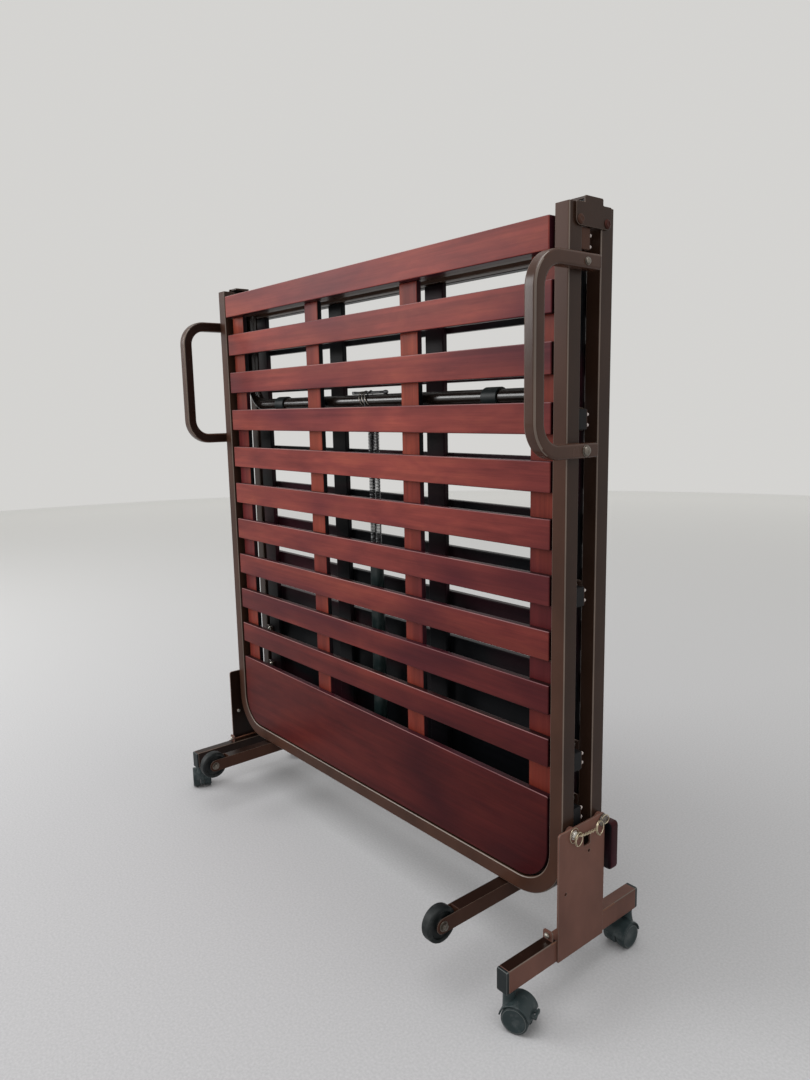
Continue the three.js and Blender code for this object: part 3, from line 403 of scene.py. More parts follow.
def swept(path, normal, section, end_radius=0.0):
    """Section carried along a plane path: each ring is the path point plus a times the side
    vector (normal x tangent) plus b times the normal. section(shrink) gives the loop."""
    path = np.asarray(path, float)
    normal = np.asarray(normal, float)
    tangent = np.gradient(path, axis=0)
    tangent[0], tangent[-1] = path[1] - path[0], path[-1] - path[-2]
    tangent /= np.linalg.norm(tangent, axis=1)[:, None]
    side = np.cross(normal, tangent)
    shrinks = np.zeros(len(path))
    if end_radius > 0:
        into, shrink = end_rounding(end_radius)
        head = path[0] + tangent[0] * into[:, None]
        tail = path[-1] - tangent[-1] * into[::-1, None]
        path = np.concatenate([head, path[1:-1], tail])
        side = np.concatenate([np.repeat(side[:1], len(into), 0), side[1:-1],
                               np.repeat(side[-1:], len(into), 0)])
        shrinks = np.concatenate([shrink, shrinks[1:-1], shrink[::-1]])
    loops = np.stack([section(s) for s in shrinks])
    rings = path[:, None] + loops[..., :1] * side[:, None] + loops[..., 1:] * normal
    return loft(rings)


def wire(path, radius, sides=10, closed_path=False):
    """Round wire along any path. The section's frame is carried from station to station and
    turned only as far as keeps it square to the path."""
    path = np.asarray(path, float)
    if closed_path:
        tangent = np.roll(path, -1, axis=0) - np.roll(path, 1, axis=0)
    else:
        tangent = np.gradient(path, axis=0)
    tangent /= np.linalg.norm(tangent, axis=1)[:, None]
    across = np.cross(tangent[0], [0.36, 0.48, 0.8])
    frames = []
    for direction in tangent:
        across = across - direction * np.dot(across, direction)
        across = across / np.linalg.norm(across)
        frames.append(across)
    first = np.array(frames)
    second = np.cross(tangent, first)
    loop = circle(1.0, sides)
    around = loop[:, :1] * first[:, None] + loop[:, 1:] * second[:, None]
    rings = path[:, None] + around * np.broadcast_to(radius, len(path))[:, None, None]
    return loft(rings, closed_path=closed_path)


def weld_bead(start, end, radius=1.8):
    """Bead of weld on a line: its radius swells by 12% once every 3 mm and closes at the ends."""
    start, end = np.asarray(start, float), np.asarray(end, float)
    length = np.linalg.norm(end - start)
    s = np.linspace(0, length, max(int(length / 0.75), 8))
    ends = np.clip(np.minimum(s, length - s) / (2 * radius), 0.02, 1)
    swell = radius * np.sqrt(1 - (1 - ends) ** 2) * (1 + 0.12 * np.sin(2 * np.pi * s / 3.0))
    return wire(start + (end - start) * (s / length)[:, None], swell, 8)


def hexagon(radius, centre):
    """Loop of a hexagon with slightly rounded corners."""
    return rounded_outline(circle(radius, 6, centre), (radius * 0.12,) * 6, 2)


def hex_nut(axis, span, radius, centre):
    """Hexagon nut or bolt head between two places on an axis."""
    return plate(axis, span, hexagon(radius, centre), edge=0.5, steps=2)


def disc(axis, span, radius, centre, edge=0.5):
    """Flat round disc with rounded rims. centre is its place across the axis."""
    return plate(axis, span, circle(radius, 32, centre), edge=edge, steps=2)


def dome(axis, foot, height, radius, centre, steps=7):
    """Domed head: a short straight rim, then the arc of an ellipse up to the axis."""
    t = np.linspace(0, np.pi / 2, steps)
    sign = 1 if height > 0 else -1
    rim = foot + sign * min(1.0, abs(height) / 3)
    profile = [(0.0, foot), (radius, foot)] + [
        (radius * math.cos(a), rim + (foot + height - rim) * math.sin(a)) for a in t]
    profile[-1] = (0.0, foot + height)
    return revolved(profile, axis, centre)


def revolved(profile, axis, centre, steps=32):
    """Profile of (radius, place) turned about an axis through the centre. A profile that does
    not start and end on the axis is closed on itself."""
    profile = np.asarray(profile, float)
    angle = np.arange(steps) * 2 * np.pi / steps
    local = np.stack([
        profile[None, :, 0] * np.cos(angle)[:, None],
        profile[None, :, 0] * np.sin(angle)[:, None],
        np.repeat(profile[None, :, 1], steps, 0)], -1)
    points = along_axis(local, axis) + np.array(centre)
    on_axis = profile[0, 0] < 1e-6 and profile[-1, 0] < 1e-6
    index = np.arange(steps * len(profile)).reshape(steps, len(profile))
    after = np.roll(index, -1, axis=0)
    if on_axis:
        quads = np.stack([index[:, :-1], after[:, :-1], after[:, 1:], index[:, 1:]], -1)
    else:
        ahead, after_ahead = np.roll(index, -1, axis=1), np.roll(after, -1, axis=1)
        quads = np.stack([index, after, after_ahead, ahead], -1)
    return points.reshape(-1, 3), quads.reshape(-1, 4).tolist()


def arc(centre, radius, start, end, steps):
    """Points centre + radius * (cos t, sin t) from start to end, in degrees."""
    t = np.radians(np.linspace(start, end, steps + 1))
    return np.stack([centre[0] + radius * np.cos(t), centre[1] + radius * np.sin(t)], -1)


def inward(loop):
    """Vectors at the loop's corners, to the left of the way round, and just long enough to
    shift both sides of the corner by 1."""
    ahead = np.roll(loop, -1, axis=0) - loop
    behind = loop - np.roll(loop, 1, axis=0)
    left = lambda v: np.stack([-v[:, 1], v[:, 0]], -1) / np.linalg.norm(v, axis=1)[:, None]
    total = left(ahead) + left(behind)
    return total / np.maximum((total ** 2).sum(1), 0.5)[:, None] * 2


def signed_area(loop):
    """Area inside a loop, positive where it runs against the clock."""
    after = np.roll(loop, -1, axis=0)
    return 0.5 * np.sum(loop[:, 0] * after[:, 1] - loop[:, 1] * after[:, 0])


def plate(axis, span, outline, holes=(), edge=0.8, steps=3):
    """Flat plate between two places on an axis, with rounded edges. Each loop's corners are
    carried round a quarter circle at both faces: in by edge * (1 - sin t) and up by
    edge * (1 - cos t). The faces are filled between the inner loops, leaving the holes."""
    loops = [outline if signed_area(outline) > 0 else outline[::-1]]
    loops += [hole[::-1] if signed_area(hole) > 0 else hole for hole in holes]
    into, shrink = end_rounding(edge, steps)
    heights = np.concatenate([span[0] + into, span[1] - into[::-1]])
    shrinks = np.concatenate([shrink, shrink[::-1]])
    walls, rims, flat, lowest, highest = [], [], [], [], []
    for loop in loops:
        push, number = inward(loop), np.arange(len(loop))
        rings = np.stack([
            np.column_stack([loop + push * s, np.full(len(loop), h)])
            for h, s in zip(heights, shrinks)])
        first = len(flat) * len(heights)
        rims.append((len(flat) + number).tolist())
        flat.extend(Vector(point) for point in rings[0][:, :2])
        lowest.extend(first + number)
        highest.extend(first + (len(heights) - 1) * len(loop) + number)
        walls.append(loft(rings, caps=False))
    filled = delaunay_2d_cdt(flat, [], rims, 2, 1e-5)
    triangles, origins = filled[2], filled[3]
    source = [origin[0] if origin else 0 for origin in origins]
    points, faces = joined(*walls)
    faces += [[int(lowest[source[i]]) for i in triangle][::-1] for triangle in triangles]
    faces += [[int(highest[source[i]]) for i in triangle] for triangle in triangles]
    return along_axis(points, axis), faces


# Pieces

def place(points):
    """Bed millimetres as metres in the frame's coordinates."""
    return points * MM + np.array([0.0, FACE_Y, 0.0])


def soften(mesh, limit):
    """Corner normals: at every corner of a face, the sum of area times normal over those faces
    round the vertex that turn from this face by less than the limit, in degrees."""
    faces, loops = len(mesh.polygons), len(mesh.loops)
    normals, areas = np.zeros(faces * 3), np.zeros(faces)
    sizes, vertices = np.zeros(faces, int), np.zeros(loops, int)
    mesh.polygons.foreach_get("normal", normals)
    mesh.polygons.foreach_get("area", areas)
    mesh.polygons.foreach_get("loop_total", sizes)
    mesh.loops.foreach_get("vertex_index", vertices)
    normals = normals.reshape(-1, 3)
    face_of = np.repeat(np.arange(faces), sizes)
    order = np.argsort(vertices, kind="stable")
    counts = np.bincount(vertices, minlength=len(mesh.vertices))
    starts = np.concatenate([[0], np.cumsum(counts)[:-1]])
    total = np.zeros((loops, 3))
    for step in range(counts.max()):
        has = counts[vertices] > step
        other = face_of[order[starts[vertices[has]] + step]]
        own = face_of[has]
        near = (normals[own] * normals[other]).sum(1) > math.cos(math.radians(limit))
        total[has] += np.where(near, areas[other], 0.0)[:, None] * normals[other]
    length = np.linalg.norm(total, axis=1)[:, None]
    total = np.where(length > 1e-16, total / np.maximum(length, 1e-16), (0.0, 0.0, 1.0))
    mesh.normals_split_custom_set(total.tolist())


def clean_mesh(name, shape):
    """The shape as a mesh: doubles merged, faces turned outwards, slight corners softened."""
    points, faces = shape
    mesh = bpy.data.meshes.new(name)
    mesh.from_pydata(place(points).tolist(), [], faces)
    work = bmesh.new()
    work.from_mesh(mesh)
    bmesh.ops.remove_doubles(work, verts=work.verts, dist=2e-6)
    bmesh.ops.dissolve_degenerate(work, edges=work.edges, dist=1e-6)
    bmesh.ops.recalc_face_normals(work, faces=work.faces)
    work.to_mesh(mesh)
    work.free()
    mesh.shade_smooth()
    soften(mesh, SOFT_CORNER)
    return mesh


def choose_faces(mesh, choose):
    """Gives each face the number of its material, which choose(normals, centres) works out."""
    count = len(mesh.polygons)
    normals, centres = np.zeros(count * 3), np.zeros(count * 3)
    mesh.polygons.foreach_get("normal", normals)
    mesh.polygons.foreach_get("center", centres)
    numbers = choose(normals.reshape(-1, 3), centres.reshape(-1, 3))
    mesh.polygons.foreach_set("material_index", numbers.astype(np.int32))


def piece(name, body, materials, shape, replaces=(), choose=None):
    """A mesh object made from a shape and a list of materials. It rides on a body given by
    name. A body given as (lower, upper, start, end), two bodies and the places between which
    the piece would stretch, is not used: the mesh keeps its place and rides on nothing."""
    mesh = clean_mesh(name, shape)
    for material in materials:
        mesh.materials.append(material)
    if choose is not None:
        choose_faces(mesh, choose)
    item = bpy.data.objects.new(name, mesh)
    bpy.context.scene.collection.objects.link(item)
    if isinstance(body, str):
        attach(item, body)
    else:
        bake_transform(item)
    if replaces:
        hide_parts(*replaces)


# Materials

class Finish:
    """A material with one Principled shader and short calls for the nodes round it. Patterns
    are laid out in the piece's own coordinates, in metres."""

    def __init__(self, name, **values):
        self.material = bpy.data.materials.new(name)
        self.material.use_nodes = True
        self.tree = self.material.node_tree
        self.shader = next(n for n in self.tree.nodes if n.type == "BSDF_PRINCIPLED")
        self.coords = self.tree.nodes.new("ShaderNodeTexCoord").outputs["Object"]
        for key, value in values.items():
            self.shader.inputs[key.replace("_", " ")].default_value = value

    def node(self, kind, values=(), **links):
        """A node with set values and with its sockets linked by name."""
        made = self.tree.nodes.new(kind)
        for key, value in dict(values).items():
            made.inputs[key].default_value = value
        for key, value in links.items():
            self.tree.links.new(value, made.inputs[key])
        return made

    def mapped(self, scale, location=(0, 0, 0)):
        """The piece's coordinates times scale, plus location."""
        made = self.node("ShaderNodeMapping", {"Scale": scale, "Location": location})
        self.tree.links.new(self.coords, made.inputs["Vector"])
        return made.outputs["Vector"]

    def noise(self, scale, detail=3.0, roughness=0.55, distortion=0.0, location=(0, 0, 0)):
        """Cloudy pattern from 0 to 1, with about scale clouds a metre along each axis."""
        made = self.node("ShaderNodeTexNoise", {
            "Scale": 1.0, "Detail": detail, "Roughness": roughness, "Distortion": distortion})
        self.tree.links.new(self.mapped(scale, location), made.inputs["Vector"])
        return made.outputs["Fac"]

    def ramp(self, value, stops):
        """Colours at places from 0 to 1, blended between them."""
        made = self.tree.nodes.new("ShaderNodeValToRGB")
        self.tree.links.new(value, made.inputs["Fac"])
        elements = made.color_ramp.elements
        while len(elements) < len(stops):
            elements.new(0.5)
        for element, (position, color) in zip(elements, stops):
            element.position = position
            element.color = (*color, 1.0)
        return made.outputs["Color"]

    def mix(self, factor, first, second, kind="MIX"):
        """Two colours mixed or multiplied. On a colour mix, inputs 6 and 7 are its colours
        and output 2 is the result."""
        made = self.tree.nodes.new("ShaderNodeMix")
        made.data_type = "RGBA"
        made.blend_type = kind
        for socket, value in ((made.inputs["Factor"], factor), (made.inputs[6], first),
                              (made.inputs[7], second)):
            if hasattr(value, "links"):
                self.tree.links.new(value, socket)
            elif isinstance(value, float):
                socket.default_value = value
            else:
                socket.default_value = (*value, 1.0)
        return made.outputs[2]

    def number(self, value, low, high):
        """A value from 0 to 1 as a number from low to high."""
        made = self.node("ShaderNodeMapRange", {"To Min": low, "To Max": high})
        self.tree.links.new(value, made.inputs["Value"])
        return made.outputs["Result"]

    def bump(self, height, strength, distance):
        """Fine relief on the shader's normal."""
        made = self.node("ShaderNodeBump", {"Strength": strength, "Distance": distance})
        self.tree.links.new(height, made.inputs["Height"])
        self.tree.links.new(made.outputs["Normal"], self.shader.inputs["Normal"])

    def set(self, socket, value):
        """Links a value to one of the shader's sockets."""
        self.tree.links.new(value, self.shader.inputs[socket])


PURPLE_STAIN = (0.1, 0.018, 0.032)
RUBBED_COAT = (0.16, 0.1, 0.07)


def grey(value):
    """A neutral colour."""
    return (value,) * 3


def toned(color, factor):
    """A colour times a number."""
    return tuple(factor * part for part in color)


def stained_wood(name, grain_axis, dark, middle, light, seed, painted_shade_low=1.0):
    """Mahogany stain under satin varnish: blotches, purple patches, long streaks and fine
    fibres, all stretched along the grain's axis. Painted shade darkens the colour towards the
    right, and towards the floor down to the low factor times its colour."""
    finish = Finish(name, Specular_IOR_Level=0.085)
    along = lambda long, wide: tuple(long if axis == grain_axis else wide for axis in "xyz")
    blotch = finish.noise(along(3.2, 11.0), 4.0, 0.6, 0.6, (seed, seed * 2, 0))
    streak = finish.noise(along(2.2, 85.0), 3.0, 0.6, 0.3, (0, seed, seed))
    fibre = finish.noise(along(14.0, 900.0), 2.0, 0.5)
    mottle = finish.noise(along(9.0, 34.0), 4.0, 0.6, 0.5, (seed, 0, seed))
    patches = finish.mix(0.45, blotch, mottle)
    base = finish.ramp(patches, ((0.26, dark), (0.5, middle), (0.76, light)))
    cool = finish.noise(along(2.6, 6.0), 2.0, 0.5, 0.4, (seed + 3, 0, seed))
    veil = finish.ramp(cool, ((0.46, grey(0.0)), (0.66, grey(0.9))))
    base = finish.mix(veil, base, tuple(0.5 * (a + b) for a, b in zip(dark, PURPLE_STAIN)))
    streaks = finish.ramp(streak, ((0.3, (0.62, 0.6, 0.62)), (0.7, (1.12, 1.06, 1.0))))
    fibres = finish.ramp(fibre, ((0.25, grey(0.8)), (0.75, grey(1.08))))
    color = finish.mix(0.75, base, streaks, "MULTIPLY")
    color = finish.mix(0.7, color, fibres, "MULTIPLY")
    # Painted shade: darker towards the floor, down to the low factor times the colour.
    where = finish.node("ShaderNodeSeparateXYZ", Vector=finish.mapped((1.0, 1.0, 1 / 1.2)))
    low = (painted_shade_low, painted_shade_low ** 1.35, painted_shade_low ** 1.25)
    between = tuple(tone ** 0.6 for tone in low)
    painted_shade_by_height = finish.ramp(where.outputs["Z"], ((0.22, low), (0.3, between), (0.6, grey(1.0))))
    color = finish.mix(1.0, color, painted_shade_by_height, "MULTIPLY")
    # Painted shade: darker towards the right of the bed.
    across = finish.ramp(where.outputs["X"], ((0.1, grey(1.0)), (0.45, (0.72, 0.68, 0.74))))
    finish.set("Base Color", finish.mix(1.0, color, across, "MULTIPLY"))
    finish.set("Roughness", finish.number(blotch, 0.3, 0.42))
    finish.bump(fibre, 0.12, 0.0004)
    return finish.material


def coated_steel(name, color, roughness=0.38, gloss=0.22):
    """Brown powder coat: slow changes of tone, a fine orange-peel bump and pale rubbed specks."""
    finish = Finish(name, Specular_IOR_Level=gloss)
    slow = finish.noise((9.0, 9.0, 5.0), 4.0, 0.6)
    fine = finish.noise((520.0, 520.0, 520.0), 2.0, 0.5)
    rubbed = finish.noise((70.0, 70.0, 16.0), 6.0, 0.7, 0.4, (3.0, 1.0, 2.0))
    tone = finish.ramp(slow, ((0.3, toned(color, 0.72)), (0.7, toned(color, 1.3))))
    specks = finish.ramp(rubbed, ((0.68, grey(0.0)), (0.76, grey(0.4))))
    finish.set("Base Color", finish.mix(specks, tone, RUBBED_COAT))
    finish.set("Roughness", finish.number(slow, roughness - 0.07, roughness + 0.1))
    finish.bump(fine, 0.12, 0.0003)
    return finish.material


def moulded_plastic(name, color, roughness=0.5, worn=0.0):
    """Moulded plastic: a fine grain and, where worn, pale dusty patches."""
    finish = Finish(name, Specular_IOR_Level=0.25)
    slow = finish.noise((60.0, 60.0, 60.0), 5.0, 0.65)
    fine = finish.noise((1400.0, 1400.0, 1400.0), 2.0, 0.5)
    pale = tuple(0.09 + c for c in color)
    dust = finish.ramp(slow, ((0.5, grey(0.0)), (0.72, grey(worn))))
    finish.set("Base Color", finish.mix(dust, color, pale))
    finish.set("Roughness", finish.number(slow, roughness - 0.06, roughness + 0.12))
    finish.bump(fine, 0.08, 0.0002)
    return finish.material


def bare_metal(name, color, roughness, stain):
    """Plated or oiled metal: stained in spots, with mottled roughness."""
    finish = Finish(name, Metallic=1.0)
    mottle = finish.noise((260.0, 260.0, 260.0), 4.0, 0.6)
    spots = finish.ramp(mottle, ((0.45, grey(0.0)), (0.7, grey(0.8))))
    finish.set("Base Color", finish.mix(spots, color, stain))
    finish.set("Roughness", finish.number(mottle, roughness - 0.06, roughness + 0.14))
    return finish.material


WOOD_COLORS = ((0.125, 0.026, 0.027), (0.24, 0.051, 0.043), (0.355, 0.088, 0.056))
# Slat, lath and rear slat wood end with the low factor of their painted shade near the floor.
slat_wood = stained_wood("slat wood", "x", *WOOD_COLORS, 0.0, 0.34)
lath_wood = stained_wood("lath wood", "z", (0.15, 0.024, 0.018), (0.27, 0.052, 0.032),
                         (0.37, 0.085, 0.045), 4.0, 0.7)
rear_wood = stained_wood("rear slat wood", "x", *WOOD_COLORS, 7.0, 0.4)
stop_wood = stained_wood("stop rail wood", "x", (0.015, 0.005, 0.006), (0.032, 0.008, 0.009),
                         (0.07, 0.015, 0.013), 5.0)
# Painted shade: the slats' edges, darker than their faces.
painted_shade_edge = stained_wood("slat edge painted shade", "x", (0.016, 0.005, 0.006), (0.028, 0.008, 0.008),
                          (0.045, 0.012, 0.01), 2.0)
# Painted highlight: the pale upper arris of the slats.
painted_highlight_edge = stained_wood("slat edge painted highlight", "x", (0.2, 0.1, 0.1), (0.32, 0.17, 0.165),
                         (0.45, 0.26, 0.25), 1.0)
# Dark colour of the inner faces of slats, laths and stop rail.
dark_inner_wood = stained_wood("dark inner wood", "x", (0.004, 0.005, 0.006),
                          (0.007, 0.008, 0.01), (0.012, 0.013, 0.015), 2.0)
steel = coated_steel("brown steel", (0.05, 0.0215, 0.0135), 0.36, 0.13)
tube_steel = coated_steel("glossy dark steel", (0.014, 0.009, 0.007), 0.2, 0.5)
glossy_steel = coated_steel("glossy brown steel", (0.05, 0.0225, 0.014), 0.24, 0.27)
red_steel = coated_steel("reddish brown steel", (0.137, 0.063, 0.047), 0.42, 0.13)
# Dark brown steel: the brackets' own colour, and painted shade on the frames' sides, tops and inner
# faces.
leg_steel = coated_steel("dark brown steel", (0.028, 0.0135, 0.0085), 0.32, 0.2)
shaded_steel = coated_steel("shaded brown steel", (0.012, 0.005, 0.003), 0.3, 0.2)
weld_steel = coated_steel("weld edge", (0.17, 0.074, 0.044), 0.4, 0.2)
# Painted highlight: pale steel on rounded edges, where light catches them.
painted_highlight_steel = coated_steel("steel edge painted highlight", (0.13, 0.095, 0.075), 0.3, 0.5)
black_plastic = moulded_plastic("black plastic", (0.008, 0.012, 0.013), 0.45, 0.1)
worn_plastic = moulded_plastic("worn plastic edge", (0.1, 0.11, 0.11), 0.45)
# Painted shade: dull black for the lower lugs behind the front rails.
painted_shade_black = moulded_plastic("lug painted shade", (0.004, 0.004, 0.005), 0.6)
sleeve_plastic = moulded_plastic("green black plastic", (0.008, 0.017, 0.017), 0.35, 0.2)
caster_plastic = moulded_plastic("caster plastic", (0.02, 0.031, 0.033), 0.36, 0.45)
tread_rubber = moulded_plastic("tread rubber", (0.006, 0.0085, 0.009), 0.5, 0.25)
spring_wire = bare_metal("spring wire", (0.15, 0.15, 0.155), 0.3, (0.015, 0.015, 0.015))
painted_glint_zinc = moulded_plastic("zinc nut painted glint", (0.5, 0.44, 0.42), 0.4)      # painted glint: pale and diffuse, so no mirror
zinc = bare_metal("bright zinc", (0.62, 0.6, 0.55), 0.24, (0.4, 0.36, 0.28))
dull_zinc = bare_metal("dull zinc", (0.22, 0.2, 0.175), 0.36, (0.1, 0.07, 0.05))
chain_metal = bare_metal("chain metal", (0.6, 0.52, 0.38), 0.28, (0.3, 0.24, 0.16))
rust = bare_metal("rusty rivet", (0.07, 0.027, 0.022), 0.5, (0.035, 0.015, 0.012))


# Wood

def wood_sides(faces_to):
    """Face chooser of a board: 0 the outer face, 1 the black inner side, 2 the edges, dark as
    painted shade, 3 the upper arris, pale as a painted highlight. faces_to is the y direction
    of the panel's outer face. The rear panel's edges are black too."""
    def choose(normals, centres):
        out, up = normals[:, 1] * faces_to, normals[:, 2]
        numbers = np.full(len(normals), 2)
        numbers[out > 0.6] = 0
        numbers[(out > 0.25) & (out < 0.97) & (up > 0.2)] = 3
        numbers[out < 0.3 * faces_to] = 1
        return numbers
    return choose


def lath_sides(faces_to):
    """Face chooser of a lath: 0 the face towards the slats, 1 all its other faces."""
    def choose(normals, centres):
        return (normals[:, 1] * faces_to < 0.7).astype(int)
    return choose


def edge_faces(axis):
    """Face chooser of a tube or plate: 1 on the rounded edges round its flat sides, which are
    the faces that are neither square to the axis nor along it."""
    def choose(normals, centres):
        slope = np.abs(normals[:, "xyz".index(axis)])
        return ((slope > 0.3) & (slope < 0.93)).astype(int)
    return choose


def frame_faces(faces_to):
    """Face chooser of a frame: 1 on rounded edges, a painted highlight, 2 on the sides of its
    rails, on top and on the faces inside the folded bed, dark as painted shade, but 0 on the
    ends of the rails."""
    rail_ends = (RAIL_TOP - 4.0) * MM
    def choose(normals, centres):
        numbers = edge_faces("y")(normals, centres)
        numbers[(np.abs(normals[:, 0]) > 0.9) | (normals[:, 2] > 0.95)] = 2
        numbers[centres[:, 2] > rail_ends] = 0
        numbers[normals[:, 1] * faces_to < -0.9] = 2
        return numbers
    return choose


def slat(number):
    """One slat of the front panel, a rounded bar along x."""
    top = SLAT_TOP - number * SLAT_PITCH
    height = FIRST_HEIGHT if number == 0 else SLAT_HEIGHT
    face = SLAT_FACE - FIRST_PROUD if number == 0 else SLAT_FACE
    left = FIRST_SHORT - SLAT_HALF if number == 0 else -SLAT_HALF
    return box_bar((left, SLAT_HALF), (face, SLAT_BACK), (top - height, top), SLAT_ROUND, "x", 2.0)


def end_board():
    """Wide board with two rounded lower corners. Its upper edge isn't quite level."""
    corners = ((-SLAT_HALF, BOARD_BOTTOM), (SLAT_HALF, BOARD_BOTTOM),
               (SLAT_HALF, BOARD_TOP), (-SLAT_HALF, BOARD_TOP + BOARD_RISE))
    outline = rounded_outline(corners, (BOARD_RADIUS, BOARD_RADIUS, 2.4, 2.4), 16)
    return plate("y", (SLAT_FACE, SLAT_BACK), outline, edge=1.8, steps=4)


def lath(x):
    """One upright lath behind the slats."""
    return box_bar((x - LATH_WIDTH / 2, x + LATH_WIDTH / 2), (LATH_FRONT, LATH_BACK),
                   (LATH_BOTTOMS[abs(x)], LATH_TOP), LATH_ROUND, "z", 1.5)


def make_decks():
    """Slats, end board and laths of both panels."""
    for (panel, turn, faces_to), wood in zip(PANELS, (slat_wood, rear_wood)):
        body, slot = f"{panel}_panel", f"{panel}_wood"
        # Outer face, dark inner side, painted shade on the edges, painted highlight on the upper
        # arris.
        looks = [wood, dark_inner_wood, painted_shade_edge, painted_highlight_edge]
        for number in range(SLAT_COUNT):
            label = f"{panel}_slat_{number + 1:02d}"
            piece(f"wood_{label}", body, looks, turn(slat(number)), [label],
                  wood_sides(faces_to))
        piece(f"wood_{panel}_end_board", body, looks, turn(end_board()),
              [f"{panel}_end_board"], wood_sides(faces_to))
        for number, x in enumerate(LATH_PLACES):
            label = f"{panel}_lath_{number + 1}"
            piece(f"wood_{label}", body, [lath_wood, dark_inner_wood], turn(lath(x)), [label],
                  lath_sides(faces_to))


# Frames

def square_tube(path, normal, half_side, half_normal, radius, end_radius=0.8):
    """Bent tube of rounded rectangular section: half_side across the path in its plane,
    half_normal square to the plane."""
    return swept(path, normal, lambda s: rounded_rect(half_side - s, half_normal - s, radius - s),
                 end_radius)


def bent_frame():
    """The panel's bent tube: two rails and the closed end, on the path of its middle."""
    x, z = HALF_WIDTH - RAIL_WIDTH / 2, END_TUBE_BOTTOM + RAIL_WIDTH / 2
    y = RAIL_DEPTH / 2
    path = rounded_path([(-x, y, RAIL_TOP), (-x, y, z), (x, y, z), (x, y, RAIL_TOP)],
                        CORNER_RADIUS + RAIL_WIDTH / 2, 20)
    return square_tube(path, (0, 1, 0), RAIL_WIDTH / 2, RAIL_DEPTH / 2, RAIL_ROUND)


def cross_tube():
    """Tube between the rails near their upper ends, welded all round."""
    y = (LATH_FRONT, LATH_FRONT + CROSS_DEPTH)
    low, high = CROSS_BOTTOM, CROSS_BOTTOM + CROSS_HEIGHT
    parts = [box_bar((-RAIL_INNER, RAIL_INNER), y, (low, high), 2.0)]
    for side in SIDES:
        seam = side * (RAIL_INNER - 0.6)
        parts += [weld_bead((seam, y[0] + 2, z), (seam, RAIL_DEPTH - 1, z)) for z in (low, high)]
        parts.append(weld_bead((seam, y[0], low + 2), (seam, y[0], high - 2)))
    return joined(*parts)


def lath_tabs():
    """Flat tabs behind the laths: four on each rail, welded along both edges, and two on the
    closed end."""
    parts = []
    for side in SIDES:
        for middle in TAB_HEIGHTS:
            z = (middle - TAB_WIDTH / 2, middle + TAB_WIDTH / 2)
            parts.append(box_bar(outward(side, RAIL_INNER - TAB_REACH, RAIL_INNER), TAB_Y, z,
                                 1.0, "y", 0.4))
            parts += [weld_bead((side * (RAIL_INNER - 1), TAB_Y[1], edge),
                                (side * (RAIL_INNER - 12), TAB_Y[1], edge), 1.2) for edge in z]
        x = side * LATH_INNER
        parts.append(box_bar((x - TAB_WIDTH / 2, x + TAB_WIDTH / 2), TAB_Y,
                             (END_TUBE_TOP, END_TUBE_TOP + TAB_REACH), 1.0, "y", 0.4))
    return joined(*parts)


def panel_frame():
    """Front panel's frame with everything that is welded to it on both panels."""
    return joined(bent_frame(), cross_tube(), lath_tabs())


def rail_plugs():
    """Dark plastic plugs in the upper ends of the rails."""
    x, y = HALF_WIDTH - RAIL_WIDTH / 2, RAIL_DEPTH / 2
    half_x, half_y = RAIL_WIDTH / 2 - 2.1, RAIL_DEPTH / 2 - 2.1
    return joined(*[
        box_bar((side * x - half_x, side * x + half_x), (y - half_y, y + half_y),
                (RAIL_TOP - 3, RAIL_TOP + 0.5), 1.6, "z", 0.5) for side in SIDES])


def lath_screws():
    """Pan head screws on the tabs: a dome on a flat washer."""
    shapes = []
    face, washer = TAB_Y[1], 1.0
    for side in SIDES:
        places = [(side * (RAIL_INNER - 12), z + shift)
                  for z in TAB_HEIGHTS for shift in (-7.5, 7.5)]
        places.append((side * LATH_INNER, END_TUBE_TOP + 15))
        for x, z in places:
            shapes.append(disc("y", (face, face + washer), 5.6, (x, z), 0.3))
            shapes.append(dome("y", face + washer, 3.0, 4.2, (x, 0, z)))
    return joined(*shapes)


def rail_lugs():
    """Lugs behind the front rails, each with a plate and two screws whose nuts stand out
    towards the middle of the folded bed. The uppermost lugs are kept with the plates; the
    others are kept apart, for the dull black of their painted shade."""
    lugs, plates, bolts = [], [], []
    nut_foot, nut_top, screw_end = LUG_BACK + 1.3, LUG_BACK + 5.6, LUG_BACK + 10.0
    for side in SIDES:
        x = outward(side, *LUG_X)
        screw_x = side * (sum(LUG_X) / 2 + 4)
        for z in LUG_HEIGHTS:
            kept = plates if z == LUG_HEIGHTS[0] else lugs
            kept.append(box_bar(x, (RAIL_DEPTH - 0.2, LUG_BACK), (z - 14, z + 14), 1.2, "y", 0.8))
            plates.append(box_bar((x[0] + 2, x[1] - 0.6), (LUG_BACK - 0.1, LUG_BACK + 1.4),
                                  (z - 13, z + 13), 1.0, "y", 0.4))
            for centre in ((screw_x, z - 8), (screw_x, z + 6.5)):
                bolts.append(hex_nut("y", (nut_foot, nut_top), 4.4, centre))
                bolts.append(disc("y", (nut_top - 0.1, screw_end), 2.4, centre, 0.4))
    return joined(*lugs), joined(*plates), joined(*bolts)


